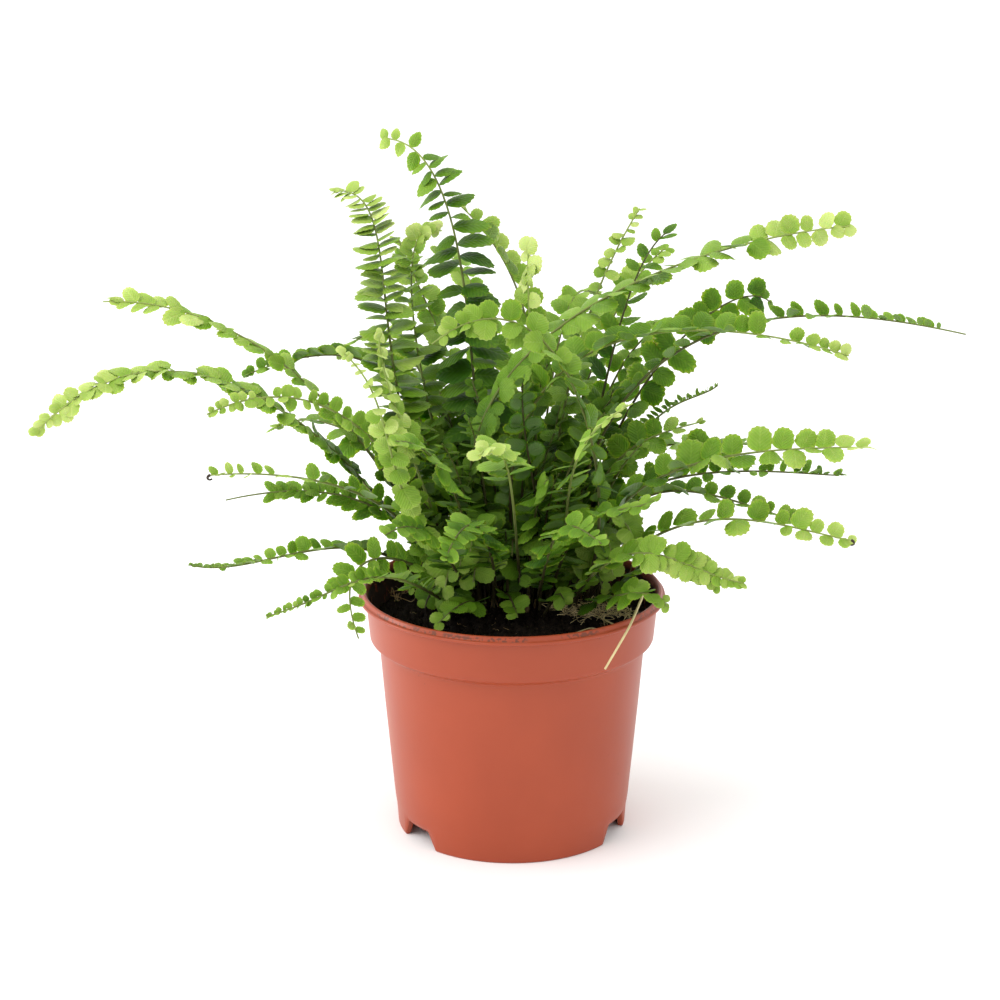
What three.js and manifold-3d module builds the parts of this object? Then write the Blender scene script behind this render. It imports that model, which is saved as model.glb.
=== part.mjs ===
// A button fern in a round plastic nursery pot. The pot stands on three feet and is filled with soil, and the
// fronds stand in plain holes in the soil.
// Millimetres, +Z up. The origin is the centre of the pot's base, and -Y is the front.
import * as THREE from "three";
import { mergeVertices } from "three/addons/utils/BufferGeometryUtils.js";
import Module from "manifold-3d";

const wasm = await Module();
wasm.setup();

// ---- Pot ----
const POT_HEIGHT = 97.5;
const RIDGE = [57.3, 58.5]; // the pot's upper edge: its inner and its outer radius
const RIM_RADIUS = 60; // the outer edge of the lip
const LIP_FOOT_Z = 94.3;
const LIP_EDGE = 1.4; // how high the lip's outer edge stands, before it slopes up to the ridge
const COLLAR_TOP_RADIUS = 57.3;
const COLLAR_FOOT_RADIUS = 55.7;
const COLLAR_FOOT_Z = 78.3;
const SHOULDER_FOOT_Z = 76;
const BODY_TOP_RADIUS = 52.1;
const BODY_FOOT_RADIUS = 46.2;
const FOOT_Z = 8; // the underside of the pot's floor, which is also the top of the notches
const FOOT_RADIUS = 45.2; // where the feet stand
const FOOT_EDGE = 0.8; // the broken outer edge of the feet
const FOOT_TAPER = 1.3; // how much the foot ring thickens downwards
const FLOOR_CORNER = 0.4; // between the floor's underside and the foot ring
const FILLET = 3; // where the body meets the foot ring, above the floor
const WALL = 1.2;
const SLOPED_WALL = 0.7; // the shoulder's wall, measured up and down
const POT_SIDES = 42;
const NOTCHES = 3;
const NOTCH_FOOT_WIDTH = 23;
const NOTCH_TOP_WIDTH = 16;
const NOTCH_HEIGHT = 7.3;
const NOTCH_CORNER = 2;
const NOTCH_DEPTH = 12;
const NOTCH_TURN = 95.4; // degrees, the middle of the first notch
const CUT_OVER = 1; // how far a cut runs past what it cuts
const DRAIN_HOLES = 6;
const DRAIN_RADIUS = 3.5;
const DRAIN_CIRCLE = 30;
const DRAIN_SIDES = 10;

// ---- Soil ----
const SOIL_EDGE_Z = 84;
const SOIL_MOUND = 4; // how much higher the soil is in the middle
const SOIL_GAP = 0.35; // between soil and pot
const SOIL_SIDES = 28;
const SOIL_RINGS = [0.86, 0.62, 0.3, 0]; // rings of the mound, as shares of its radius
const SOIL_BEVEL = 0.8; // at the foot of the soil's body
const SOIL_SHOULDER = [0.4, 0.6, 2.5]; // how it keeps off the pot's shoulder: in, and up at foot and top
const HOLE_DEPTH = 7;
const HOLE_GAP = 0.4;

// ---- Fronds ----
const PETIOLE_SHARE = 0.15; // the bare foot of the stem
const PETIOLE_SHORTEST = 12;
const PETIOLE_LONGEST = 28;
const LEAFLET_PITCH = 16.6;
const STEM_STEP = 13;
const STEM_FOOT_WIDTH = 1.8;
const STEM_TIP_WIDTH = 1.1;
const STEM_THICK = 1.3;
const BLADE_THICK = 0.7;
const LEAFLET_LIFT = 0.18; // how far a leaflet rises towards its tip, as a share of its length
const LEAFLET_OUTLINE = [
  [0.07, 0.72],
  [0.5, 1],
  [0.93, 0.68],
]; // each point's share of the pitch along the stem, and of the leaflet's length out from it
const FEWEST_PAIRS = 3;
const LEAFLET_FOOT_SHARE = 0.5; // the lowest leaflets' length, and how far up they are full length
const LEAFLET_FULL_AT = 0.3;
const LEAFLET_TIP_LOSS = 0.6; // how much shorter the leaflets are at the tip
const ROLLED_BY = 0.5; // the share of the spine over which the blade rolls
const STEM_IN_SOIL = 5.5;

// How roots spread on the soil, and how fronds bend clear of each other and of the pot's rim.
const ROUNDS = 70;
const ROOT_CLEAR = 5.2;
const ROOT_GAIN = 0.25;
const BEAD_STEP = 7;
const BEAD_SHARES = [-1, -0.5, 0, 0.5, 1]; // across the blade
const BLADE_CLEAR = 5.6;
const STEM_CLEAR = 3.4;
const BEND_GAIN = 0.32;
const YIELD = [0.4, 1.8, 0.4]; // along X, Y and Z: they give way mostly to the front and back
const RIM_CLEAR = 6;
const RIM_INSET = 2; // from the lip's outer edge to the line that fronds keep clear of
const TINY = 1e-6;
const SAME_POINT = 1e-4; // corners closer than this are one

// Each frond: its name, its root on the soil, two points that it passes, its tip, the roll of its blade in
// degrees, and how long its leaflets are.
const FRONDS = [
  // left
  ["left_long", [-28, 22], [-65, 6, 147], [-120, -10, 185], [-179, -25, 167], -1, 8.5],
  ["left_high", [-25, 29], [-56, 22, 144], [-101, 24, 189], [-159, 25, 206], 0, 8.5],
  ["left_back", [-18, 38], [-33, 50, 142], [-59, 60, 171], [-108, 70, 165], -40, 8.5],
  ["left_nodding", [-27, 14], [-43, -8, 137], [-72, -28, 173], [-113, -40, 177], -40, 6],
  ["left_middle", [-32, 22], [-48, 6, 126], [-82, -6, 144], [-115, -15, 148], -45, 8.5],
  ["left_thin", [-28, 35], [-46, 30, 117], [-76, 30, 128], [-114, 30, 124], -40, 8.5],
  ["left_low", [-29, 10], [-55, -20, 119], [-89, -38, 121], [-120, -50, 123], -30, 7.5],
  ["left_front_low", [-24, 7], [-45, -36, 121], [-64, -58, 121], [-90, -70, 110], -40, 7],
  ["left_hanging", [-18, 5], [-41, -28, 117], [-58, -46, 119], [-57, -52, 94], -60, 7.5],
  // top
  ["top_tall", [-8, 31], [-13, 36, 162], [-23, 44, 234], [-51, 60, 264], -65, 14],
  ["top_left", [-15, 30], [-42, 32, 165], [-50, 44, 223], [-69, 60, 243], -55, 12],
  ["top_inner", [-9, 36], [-36, 54, 160], [-42, 62, 212], [-30, 68, 226], -35, 10],
  ["top_middle", [7, 31], [7, 42, 141], [3, 48, 194], [-23, 62, 238], 0, 9],
  ["top_thread", [4, 26], [9, 22, 140], [7, 24, 188], [6, 28, 227], 0, 7],
  ["top_crossing", [24, 8], [39, -24, 145], [17, -28, 200], [-30, -34, 203], -50, 9.5],
  // right
  ["right_upright", [13, 29], [22, 30, 141], [32, 36, 192], [51, 50, 238], 45, 9],
  ["right_dark_upright", [17, 33], [31, 46, 142], [44, 56, 196], [63, 66, 226], 30, 10],
  ["right_high", [-4, 25], [-5, 12, 171], [56, 18, 217], [130, 20, 236], 12, 9.5],
  ["right_wing", [27, 30], [41, 52, 145], [75, 62, 189], [105, 68, 196], 45, 9],
  ["right_long", [22, 28], [52, 24, 177], [112, 26, 201], [177, 25, 193], 4, 9],
  ["right_arch", [4, 18], [12, -2, 181], [68, -12, 205], [126, -16, 195], 45, 9],
  ["right_fan", [32, 35], [45, 44, 138], [65, 51, 156], [83, 56, 164], 20, 8],
  ["right_short", [27, 24], [34, 24, 127], [52, 26, 147], [76, 28, 157], 30, 9],
  ["right_broad", [30, 14], [47, -20, 139], [87, -34, 160], [133, -38, 165], 50, 9],
  ["right_thin", [34, 28], [49, 20, 132], [100, 18, 140], [130, 16, 139], 10, 8],
  ["right_nodding", [34, 20], [45, 6, 132], [77, -6, 137], [114, -16, 128], 40, 7.5],
  ["right_low", [27, 9], [53, -26, 126], [90, -38, 134], [126, -45, 131], 55, 8.5],
  ["right_front_low", [22, 3], [43, -42, 127], [64, -54, 127], [85, -62, 120], 45, 7.5],
  ["right_under", [35, 10], [46, -14, 110], [60, -26, 115], [78, -34, 109], 20, 7],
  ["right_rim", [28, 3], [39, -30, 109], [51, -42, 112], [58, -48, 106], 30, 8],
  ["right_front_middle", [14, 9], [27, -38, 135], [39, -56, 147], [53, -66, 154], 30, 8],
  // front
  ["front_bright", [4, 13], [1, -36, 134], [-3, -80, 172], [-12, -112, 183], 0, 10],
  ["front_left_young", [-22, 16], [-42, -26, 146], [-49, -44, 183], [-63, -50, 206], -20, 10.5],
  ["front_left_thread", [-20, 24], [-38, -10, 146], [-48, -18, 183], [-50, -18, 204], -60, 8],
  ["front_right_young", [18, 15], [22, -28, 129], [26, -58, 165], [43, -76, 192], 30, 8],
  ["front_dark", [12, 20], [11, -2, 124], [6, -14, 157], [4, -16, 187], 45, 9.5],
  ["front_left_low", [-15, 11], [-28, -34, 130], [-38, -60, 143], [-46, -76, 143], -30, 8],
  ["front_left_middle", [-13, 18], [-22, -26, 142], [-33, -52, 168], [-43, -74, 178], -40, 8],
  ["front_middle", [-6, 10], [-12, -38, 127], [-18, -70, 143], [-24, -98, 141], -20, 8],
  ["front_right_middle", [10, 6], [14, -40, 130], [20, -70, 147], [31, -98, 147], 20, 8],
  ["front_foot_left", [-9, -5], [-14, -12, 97], [-21, -20, 101], [-31, -28, 96], 0, 7.5],
  ["front_foot", [-2, 4], [-2, -6, 96], [0, -12, 99], [3, -20, 94], 0, 6],
  ["front_foot_right", [12, -8], [16, -14, 97], [21, -18, 102], [27, -20, 100], 10, 6.5],
  // back
  ["back_right_low", [27, 35], [44, 60, 121], [75, 82, 127], [102, 102, 117], 0, 9],
  ["back_right", [21, 37], [38, 68, 152], [60, 88, 180], [86, 102, 184], 0, 8],
  ["back_right_middle", [33, 29], [54, 48, 120], [82, 66, 134], [110, 80, 128], 0, 9],
  ["back_low", [13, 40], [21, 68, 120], [33, 92, 134], [43, 110, 124], 0, 9],
  ["back_long", [7, 37], [14, 68, 156], [24, 92, 188], [36, 112, 189], 0, 10],
  ["back_middle", [2, 41], [0, 66, 126], [-4, 90, 146], [-8, 112, 140], 0, 9],
  ["back_high", [-4, 40], [-6, 71, 158], [-18, 93, 200], [-34, 110, 204], 0, 10],
  ["back_left_low", [-9, 40], [-22, 64, 118], [-40, 84, 132], [-56, 104, 124], 0, 9],
  ["back_left", [-14, 42], [-32, 69, 146], [-52, 89, 172], [-72, 101, 166], 0, 9.5],
  ["back_left_middle", [-21, 35], [-42, 54, 126], [-72, 70, 144], [-100, 84, 138], 0, 9],
  ["back_upright", [3, 34], [-8, 55, 142], [-30, 68, 192], [-46, 80, 220], 0, 10],
  ["back_right_upright", [12, 35], [30, 64, 160], [48, 84, 198], [64, 102, 212], 0, 9.5],
];

// ---- Dry stalk and stolon ----
const ROD_SIDES = 5;
const STALK_RADIUS = 0.7;
const STALK_STEPS = 16;
const STALK_HOLE_GAP = 0.8;
const STALK_HOLE_AT = 0.3; // where its hole is centred, as a share of its first stretch
const DRY_STALK = [
  [40, 1, 80],
  [44, -3, 95],
  [49, -13, 102],
  [50, -21, 101.5],
  [47.5, -33, 100],
  [44, -45, 97],
  [39, -53, 91],
  [34.5, -56, 84],
];
const STOLON_RADIUS = 0.6;
const STOLON_STEPS = 18;
const STOLON_RISE = 1.2; // its middle, above the soil
const STOLON = [
  [24, -26],
  [31, -20],
  [37, -24],
  [42, -17],
  [36, -10],
  [38, -3],
  [46, -2],
  [47, 7],
];

const rad = THREE.MathUtils.degToRad;
const smooth = THREE.MathUtils.smoothstep;
const lerp = THREE.MathUtils.lerp;

// ---- Solids ----
// A closed geometry as a solid for cutting, with shared vertices merged and collapsed triangles dropped.
function solidOf(geometry) {
  const bare = new THREE.BufferGeometry().setAttribute("position", geometry.getAttribute("position"));
  bare.setIndex(geometry.getIndex());
  const merged = mergeVertices(bare, SAME_POINT);
  const index = merged.index.array;
  const kept = [];
  for (let i = 0; i < index.length; i += 3) {
    const [a, b, c] = [index[i], index[i + 1], index[i + 2]];
    if (a !== b && b !== c && a !== c) kept.push(a, b, c);
  }
  const closed = (corners) => {
    const mesh = { numProp: 3, vertProperties: merged.attributes.position.array, triVerts: corners };
    return new wasm.Manifold(new wasm.Mesh(mesh));
  };
  const solid = closed(new Uint32Array(kept));
  return solid.volume() < 0 ? closed(new Uint32Array(kept).reverse()) : solid;
}

function geometryOf(solid) {
  const mesh = solid.getMesh();
  const geometry = new THREE.BufferGeometry();
  geometry.setAttribute("position", new THREE.BufferAttribute(new Float32Array(mesh.vertProperties), 3));
  geometry.setIndex(new THREE.BufferAttribute(new Uint32Array(mesh.triVerts), 1));
  geometry.computeVertexNormals();
  return geometry;
}

// A profile of [radius, z] points turned about the Z axis.
function turned(profile, sides) {
  const points = profile.map(([r, z]) => new THREE.Vector2(r, z));
  return new THREE.LatheGeometry(points, sides).rotateX(Math.PI / 2);
}

// ---- Pot ----
const POT_PROFILE = [
  [0, FOOT_Z],
  [BODY_FOOT_RADIUS - WALL - FLOOR_CORNER, FOOT_Z],
  [FOOT_RADIUS - WALL - FOOT_TAPER, 0],
  [FOOT_RADIUS - FOOT_EDGE, 0],
  [FOOT_RADIUS, FOOT_EDGE],
  [BODY_FOOT_RADIUS, FOOT_Z + FILLET],
  [BODY_TOP_RADIUS, SHOULDER_FOOT_Z],
  [COLLAR_FOOT_RADIUS, COLLAR_FOOT_Z],
  [COLLAR_TOP_RADIUS, LIP_FOOT_Z],
  [RIM_RADIUS, LIP_FOOT_Z],
  [RIM_RADIUS, LIP_FOOT_Z + LIP_EDGE],
  [RIDGE[1], POT_HEIGHT],
  [RIDGE[0], POT_HEIGHT],
  [COLLAR_TOP_RADIUS - WALL, LIP_FOOT_Z],
  [COLLAR_FOOT_RADIUS - WALL, COLLAR_FOOT_Z + SLOPED_WALL],
  [BODY_TOP_RADIUS - WALL, SHOULDER_FOOT_Z + SLOPED_WALL],
  [BODY_FOOT_RADIUS - WALL, FOOT_Z + WALL],
  [0, FOOT_Z + WALL],
];

// What one notch takes out of the foot ring: a wide low gap with sloping sides and broken upper corners.
function notchCut(degrees) {
  const half = NOTCH_TOP_WIDTH / 2;
  const side = [
    [NOTCH_FOOT_WIDTH / 2, -CUT_OVER],
    [half, NOTCH_HEIGHT - NOTCH_CORNER],
    [half - NOTCH_CORNER, NOTCH_HEIGHT],
  ];
  const outline = new THREE.Shape();
  outline.moveTo(0, -CUT_OVER);
  side.forEach(([x, y]) => outline.lineTo(x, y));
  side.reverse().forEach(([x, y]) => outline.lineTo(-x, y));
  const notch = new THREE.ExtrudeGeometry(outline, { depth: NOTCH_DEPTH, bevelEnabled: false });
  notch.rotateX(Math.PI / 2).translate(0, FOOT_RADIUS + NOTCH_DEPTH / 2, 0);
  return solidOf(notch.rotateZ(rad(degrees - 90)));
}

function drainCut(degrees) {
  const [x, y] = [DRAIN_CIRCLE * Math.cos(rad(degrees)), DRAIN_CIRCLE * Math.sin(rad(degrees))];
  const length = WALL + 2 * CUT_OVER;
  const pin = new THREE.CylinderGeometry(DRAIN_RADIUS, DRAIN_RADIUS, length, DRAIN_SIDES);
  return solidOf(pin.rotateX(Math.PI / 2).translate(x, y, FOOT_Z + WALL / 2));
}

function potGeometry() {
  let pot = solidOf(turned(POT_PROFILE, POT_SIDES));
  for (let i = 0; i < NOTCHES; i++) pot = pot.subtract(notchCut(NOTCH_TURN + (360 / NOTCHES) * i));
  for (let i = 0; i < DRAIN_HOLES; i++) pot = pot.subtract(drainCut((360 / DRAIN_HOLES) * i));
  return geometryOf(pot);
}

// ---- Fronds ----
function soilHeight(x, y) {
  const out = Math.hypot(x, y) / COLLAR_FOOT_RADIUS;
  return SOIL_EDGE_Z + SOIL_MOUND * (1 - out * out);
}

// A frond's spine is a cubic curve through its four points, at even shares of the curve, and its blade lies
// across the direction in which the frond leans.
function frondOf([name, [x, y], low, high, end, roll, leaflet]) {
  const root = new THREE.Vector3(x, y, soilHeight(x, y));
  const [a, b, tip] = [low, high, end].map((point) => new THREE.Vector3(...point));
  const sum = (...terms) => terms.reduce((v, [w, p]) => v.addScaledVector(p, w / 6), new THREE.Vector3());
  const first = sum([-5, root], [18, a], [-9, b], [2, tip]);
  const second = sum([2, root], [-9, a], [18, b], [-5, tip]);
  const heading = Math.atan2(tip.y - y, tip.x - x);
  const spine = new THREE.CubicBezierCurve3(root, first, second, tip);
  return { name, spine, heading, roll: rad(roll), leaflet };
}

// The point and the blade's directions at a share t of the curve.
function frameAt(frond, t) {
  const along = frond.spine.getTangent(t);
  const across = new THREE.Vector3(-Math.sin(frond.heading), Math.cos(frond.heading), 0);
  across.addScaledVector(along, -across.dot(along)).normalize();
  across.applyAxisAngle(along, frond.roll * smooth(t, 0, ROLLED_BY));
  const up = along.clone().cross(across);
  return { point: frond.spine.getPoint(t), across, up };
}

// How long the leaflets are at a share v of the leafy stretch.
function leafletLength(frond, v) {
  const grown = lerp(LEAFLET_FOOT_SHARE, 1, smooth(v, 0, LEAFLET_FULL_AT));
  return frond.leaflet * grown * (1 - LEAFLET_TIP_LOSS * v ** 4);
}

// Where a frond's leaflets begin, and how many pairs it has.
function layoutOf(frond) {
  frond.spine.updateArcLengths();
  const length = frond.spine.getLength();
  const bare = THREE.MathUtils.clamp(PETIOLE_SHARE * length, PETIOLE_SHORTEST, PETIOLE_LONGEST);
  const pairs = Math.max(FEWEST_PAIRS, Math.round((length - bare) / LEAFLET_PITCH));
  return { length, bare, pairs };
}

// Points spread over a frond's blade, which keep their distance from those of other fronds.
function beadsOf(frond) {
  const { length, bare } = layoutOf(frond);
  const beads = [];
  const steps = Math.round(length / BEAD_STEP);
  for (let i = 1; i <= steps; i++) {
    const u = i / steps;
    const t = frond.spine.getUtoTmapping(u);
    const v = (u * length - bare) / (length - bare);
    const frame = frameAt(frond, t);
    const half = v < 0 ? 0 : leafletLength(frond, v);
    const shares = v < 0 ? [0] : BEAD_SHARES;
    const pull = [3 * t * (1 - t) ** 2, 3 * t * t * (1 - t), t ** 3];
    for (const share of shares) {
      const p = frame.point.clone().addScaledVector(frame.across, share * half);
      p.addScaledVector(frame.up, Math.abs(share) * half * LEAFLET_LIFT);
      beads.push({ x: p.x, y: p.y, z: p.z, clear: (v < 0 ? STEM_CLEAR : BLADE_CLEAR) / 2, pull });
    }
  }
  return beads;
}

function boxOf(beads) {
  const low = [Infinity, Infinity, Infinity];
  const high = [-Infinity, -Infinity, -Infinity];
  for (const b of beads) {
    [b.x, b.y, b.z].forEach((c, k) => {
      low[k] = Math.min(low[k], c);
      high[k] = Math.max(high[k], c);
    });
  }
  return { low, high };
}

function near({ low, high }) {
  const inside = (c, k) => c > low[k] - BLADE_CLEAR && c < high[k] + BLADE_CLEAR;
  return (b) => inside(b.x, 0) && inside(b.y, 1) && inside(b.z, 2);
}

// Roots that stand too close on the soil move apart.
function spreadRoots(rows) {
  for (let round = 0; round < ROUNDS; round++) {
    for (let i = 0; i < rows.length; i++) {
      for (let j = i + 1; j < rows.length; j++) {
        const [a, b] = [rows[i][1], rows[j][1]];
        const [dx, dy] = [b[0] - a[0], b[1] - a[1]];
        const d = Math.hypot(dx, dy);
        if (d >= ROOT_CLEAR) continue;
        const k = (ROOT_GAIN * (ROOT_CLEAR - d)) / d;
        a[0] -= dx * k;
        a[1] -= dy * k;
        b[0] += dx * k;
        b[1] += dy * k;
      }
    }
  }
}

// Fronds that come too close bend away from each other, and all of them bend away from the pot's rim.
function bendClear(fronds) {
  for (let round = 0; round < ROUNDS; round++) {
    const beads = fronds.map(beadsOf);
    const boxes = beads.map(boxOf);
    const shift = fronds.map(() => [0, 1, 2].map(() => new THREE.Vector3()));
    const push = (i, bead, ...by) => {
      bead.pull.forEach((w, k) => shift[i][k].add(new THREE.Vector3(...by).multiplyScalar(w)));
    };
    for (let i = 0; i < fronds.length; i++) {
      for (let j = i + 1; j < fronds.length; j++) {
        const others = beads[j].filter(near(boxes[i]));
        if (others.length === 0) continue;
        for (const a of beads[i].filter(near(boxes[j]))) {
          for (const b of others) {
            const [dx, dy, dz] = [a.x - b.x, a.y - b.y, a.z - b.z];
            const clear = a.clear + b.clear;
            const d = Math.sqrt(dx * dx + dy * dy + dz * dz);
            if (d >= clear) continue;
            const k = (clear - d) / (2 * d + TINY);
            const by = [dx * k * YIELD[0], dy * k * YIELD[1], dz * k * YIELD[2]];
            push(i, a, ...by);
            push(j, b, ...by.map((c) => -c));
          }
        }
      }
      for (const a of beads[i]) {
        const out = Math.hypot(a.x, a.y);
        const [dr, dz] = [out - (RIM_RADIUS - RIM_INSET), a.z - POT_HEIGHT];
        const d = Math.hypot(dr, dz);
        if (d >= RIM_CLEAR) continue;
        const k = (RIM_CLEAR - d) / (d + TINY);
        push(i, a, (dr * k * a.x) / out, (dr * k * a.y) / out, dz * k);
      }
    }
    fronds.forEach((frond, i) => {
      const { v1, v2, v3 } = frond.spine;
      [v1, v2, v3].forEach((point, k) => point.addScaledVector(shift[i][k], BEND_GAIN));
    });
  }
}

// The straight first stretch of a stem, from its end in the soil to its first section above the soil.
function stemFoot(frond) {
  const { length, bare } = layoutOf(frond);
  const steps = Math.max(1, Math.round(bare / STEM_STEP));
  const first = frond.spine.getPoint(frond.spine.getUtoTmapping(bare / steps / length));
  const foot = frond.spine.getPoint(0).addScaledVector(frond.spine.getTangent(0), -STEM_IN_SOIL);
  return { foot, first, steps };
}

// One thin arched blade, with its outline cut to the stem between the leaflets. A stem section has four
// corners, and each leaflet has two shoulders and a tip, on the blade's upper and lower face.
function frondGeometry(frond) {
  const { length, bare, pairs } = layoutOf(frond);
  const pitch = (length - bare) / pairs;
  const positions = [];
  const index = [];
  const corner = (frame, across, up) => {
    const p = frame.point.clone().addScaledVector(frame.across, across).addScaledVector(frame.up, up);
    positions.push(p.x, p.y, p.z);
    return positions.length / 3 - 1;
  };
  const at = (s) => frameAt(frond, frond.spine.getUtoTmapping(Math.min(1, Math.max(0, s / length))));
  const section = (frame, s) => {
    const half = lerp(STEM_FOOT_WIDTH, STEM_TIP_WIDTH, Math.max(0, s / length)) / 2;
    const up = STEM_THICK / 2;
    const sides = [[half, up], [-half, up], [-half, -up], [half, -up]];
    return sides.map(([a, b]) => corner(frame, a, b));
  };
  const quad = (a, b, c, d) => index.push(a, b, c, a, c, d);
  const sleeve = (m, n) => [0, 1, 2, 3].forEach((k) => quad(m[k], m[(k + 1) % 4], n[(k + 1) % 4], n[k]));

  const { foot, steps } = stemFoot(frond);
  let last = section({ ...at(0), point: foot }, 0);
  quad(last[3], last[2], last[1], last[0]);
  for (let i = 1; i <= steps; i++) {
    const next = section(at((bare * i) / steps), (bare * i) / steps);
    sleeve(last, next);
    last = next;
  }
  for (let i = 0; i < pairs; i++) {
    const s = bare + i * pitch;
    const next = section(at(s + pitch), s + pitch);
    const long = leafletLength(frond, (i + 0.5) / pairs);
    quad(last[0], last[1], next[1], next[0]);
    quad(last[2], last[3], next[3], next[2]);
    for (const side of [1, -1]) {
      const outline = LEAFLET_OUTLINE.map(([share, out]) => {
        const frame = at(s + share * pitch);
        const lift = LEAFLET_LIFT * out * long;
        return [
          corner(frame, side * out * long, lift + BLADE_THICK / 2),
          corner(frame, side * out * long, lift - BLADE_THICK / 2),
        ];
      });
      const [top, under] = side > 0 ? [0, 3] : [1, 2];
      const upper = [last[top], ...outline.map((o) => o[0]), next[top]];
      const lower = [last[under], ...outline.map((o) => o[1]), next[under]];
      const face = (a, b, c) => (side > 0 ? index.push(a, b, c) : index.push(a, c, b));
      for (const [ring, flip] of [[upper, false], [lower, true]]) {
        for (const [a, b, c] of [[0, 2, 1], [0, 4, 2], [2, 4, 3]]) {
          if (flip) face(ring[a], ring[c], ring[b]);
          else face(ring[a], ring[b], ring[c]);
        }
      }
      for (let k = 0; k < 4; k++) {
        face(upper[k], upper[k + 1], lower[k + 1]);
        face(upper[k], lower[k + 1], lower[k]);
      }
    }
    last = next;
  }
  quad(last[0], last[1], last[2], last[3]);
  const geometry = new THREE.BufferGeometry();
  geometry.setAttribute("position", new THREE.Float32BufferAttribute(positions, 3));
  geometry.setIndex(index);
  return geometryOf(solidOf(geometry));
}

// ---- Soil ----
function soilGeometry(fronds) {
  const inner = (radius) => radius - WALL - SOIL_GAP;
  const collar = inner(COLLAR_FOOT_RADIUS);
  const foot = FOOT_Z + WALL + SOIL_GAP;
  const [offWall, upFoot, upTop] = SOIL_SHOULDER;
  const profile = [
    [0, foot],
    [inner(BODY_FOOT_RADIUS) - SOIL_BEVEL, foot],
    [inner(BODY_TOP_RADIUS) - offWall, SHOULDER_FOOT_Z + upFoot],
    [collar, COLLAR_FOOT_Z + upTop],
    [collar, SOIL_EDGE_Z],
    ...SOIL_RINGS.map((share) => [share * collar, soilHeight(share * collar, 0)]),
  ];
  let soil = solidOf(turned(profile, SOIL_SIDES));
  const hole = (point, along, width) => {
    const box = new THREE.BoxGeometry(width, width, 2 * HOLE_DEPTH).rotateZ(Math.PI / 4);
    box.applyQuaternion(new THREE.Quaternion().setFromUnitVectors(new THREE.Vector3(0, 0, 1), along));
    soil = soil.subtract(solidOf(box.translate(point.x, point.y, point.z)));
  };
  for (const frond of fronds) {
    const { foot: end, first } = stemFoot(frond);
    const along = first.clone().sub(end).normalize();
    hole(end.addScaledVector(along, STEM_IN_SOIL), along, STEM_FOOT_WIDTH + 2 * HOLE_GAP);
  }
  const [low, next] = DRY_STALK.map((p) => new THREE.Vector3(...p));
  const along = next.clone().sub(low).normalize();
  hole(low.lerp(next, STALK_HOLE_AT), along, 2 * (STALK_RADIUS + STALK_HOLE_GAP));
  return geometryOf(soil);
}

// ---- Dry stalk and stolon ----
// A thin rod with a few flat sides, along a smooth curve through the points.
function rod(points, radius, steps) {
  const extrudePath = new THREE.CatmullRomCurve3(points.map((p) => new THREE.Vector3(...p)));
  const corners = Array.from({ length: ROD_SIDES }, (_, i) => (2 * Math.PI * i) / ROD_SIDES);
  const section = new THREE.Shape(
    corners.map((angle) => new THREE.Vector2(radius * Math.cos(angle), radius * Math.sin(angle))),
  );
  return geometryOf(solidOf(new THREE.ExtrudeGeometry(section, { steps, extrudePath, bevelEnabled: false })));
}

// ---- The plant in its pot ----
const MATERIALS = {
  pot: new THREE.MeshStandardMaterial({ color: 0xc25f42, roughness: 0.45, metalness: 0 }),
  soil: new THREE.MeshStandardMaterial({ color: 0x1d1512, roughness: 0.95, metalness: 0 }),
  frond: new THREE.MeshStandardMaterial({ color: 0x4f8f2a, roughness: 0.5, metalness: 0 }),
  straw: new THREE.MeshStandardMaterial({ color: 0xb9a25c, roughness: 0.7, metalness: 0 }),
};

const plant = new THREE.Group();
function add(name, geometry, material) {
  const mesh = new THREE.Mesh(geometry, material);
  mesh.name = name;
  plant.add(mesh);
}

spreadRoots(FRONDS);
const fronds = FRONDS.map(frondOf);
bendClear(fronds);
add("pot", potGeometry(), MATERIALS.pot);
add("soil", soilGeometry(fronds), MATERIALS.soil);
for (const frond of fronds) add("frond_" + frond.name, frondGeometry(frond), MATERIALS.frond);
add("dry_stalk", rod(DRY_STALK, STALK_RADIUS, STALK_STEPS), MATERIALS.straw);
const onSoil = STOLON.map(([x, y]) => [x, y, soilHeight(x, y) + STOLON_RISE]);
add("stolon", rod(onSoil, STOLON_RADIUS, STOLON_STEPS), MATERIALS.straw);

export default plant;
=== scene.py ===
import math

import bpy
import numpy as np
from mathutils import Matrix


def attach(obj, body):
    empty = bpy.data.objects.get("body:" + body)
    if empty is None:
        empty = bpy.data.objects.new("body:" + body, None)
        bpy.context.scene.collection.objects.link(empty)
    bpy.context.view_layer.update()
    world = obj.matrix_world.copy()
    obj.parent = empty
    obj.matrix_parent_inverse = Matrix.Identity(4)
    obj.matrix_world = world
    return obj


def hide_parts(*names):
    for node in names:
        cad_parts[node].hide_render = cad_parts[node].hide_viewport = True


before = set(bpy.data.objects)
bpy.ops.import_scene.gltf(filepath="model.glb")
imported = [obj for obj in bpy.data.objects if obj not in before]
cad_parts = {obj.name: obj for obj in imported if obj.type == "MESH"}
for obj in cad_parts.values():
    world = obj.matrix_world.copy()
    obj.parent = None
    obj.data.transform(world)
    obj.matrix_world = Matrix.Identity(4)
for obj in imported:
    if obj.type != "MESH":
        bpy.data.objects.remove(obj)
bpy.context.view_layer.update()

# A button fern in a round terracotta-coloured nursery pot. Lengths are in millimetres up to the point where a
# mesh is made. X is to the right, Y to the back and Z up, from the centre of the pot's foot.
MM = 0.001
TURN = 2 * np.pi

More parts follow.
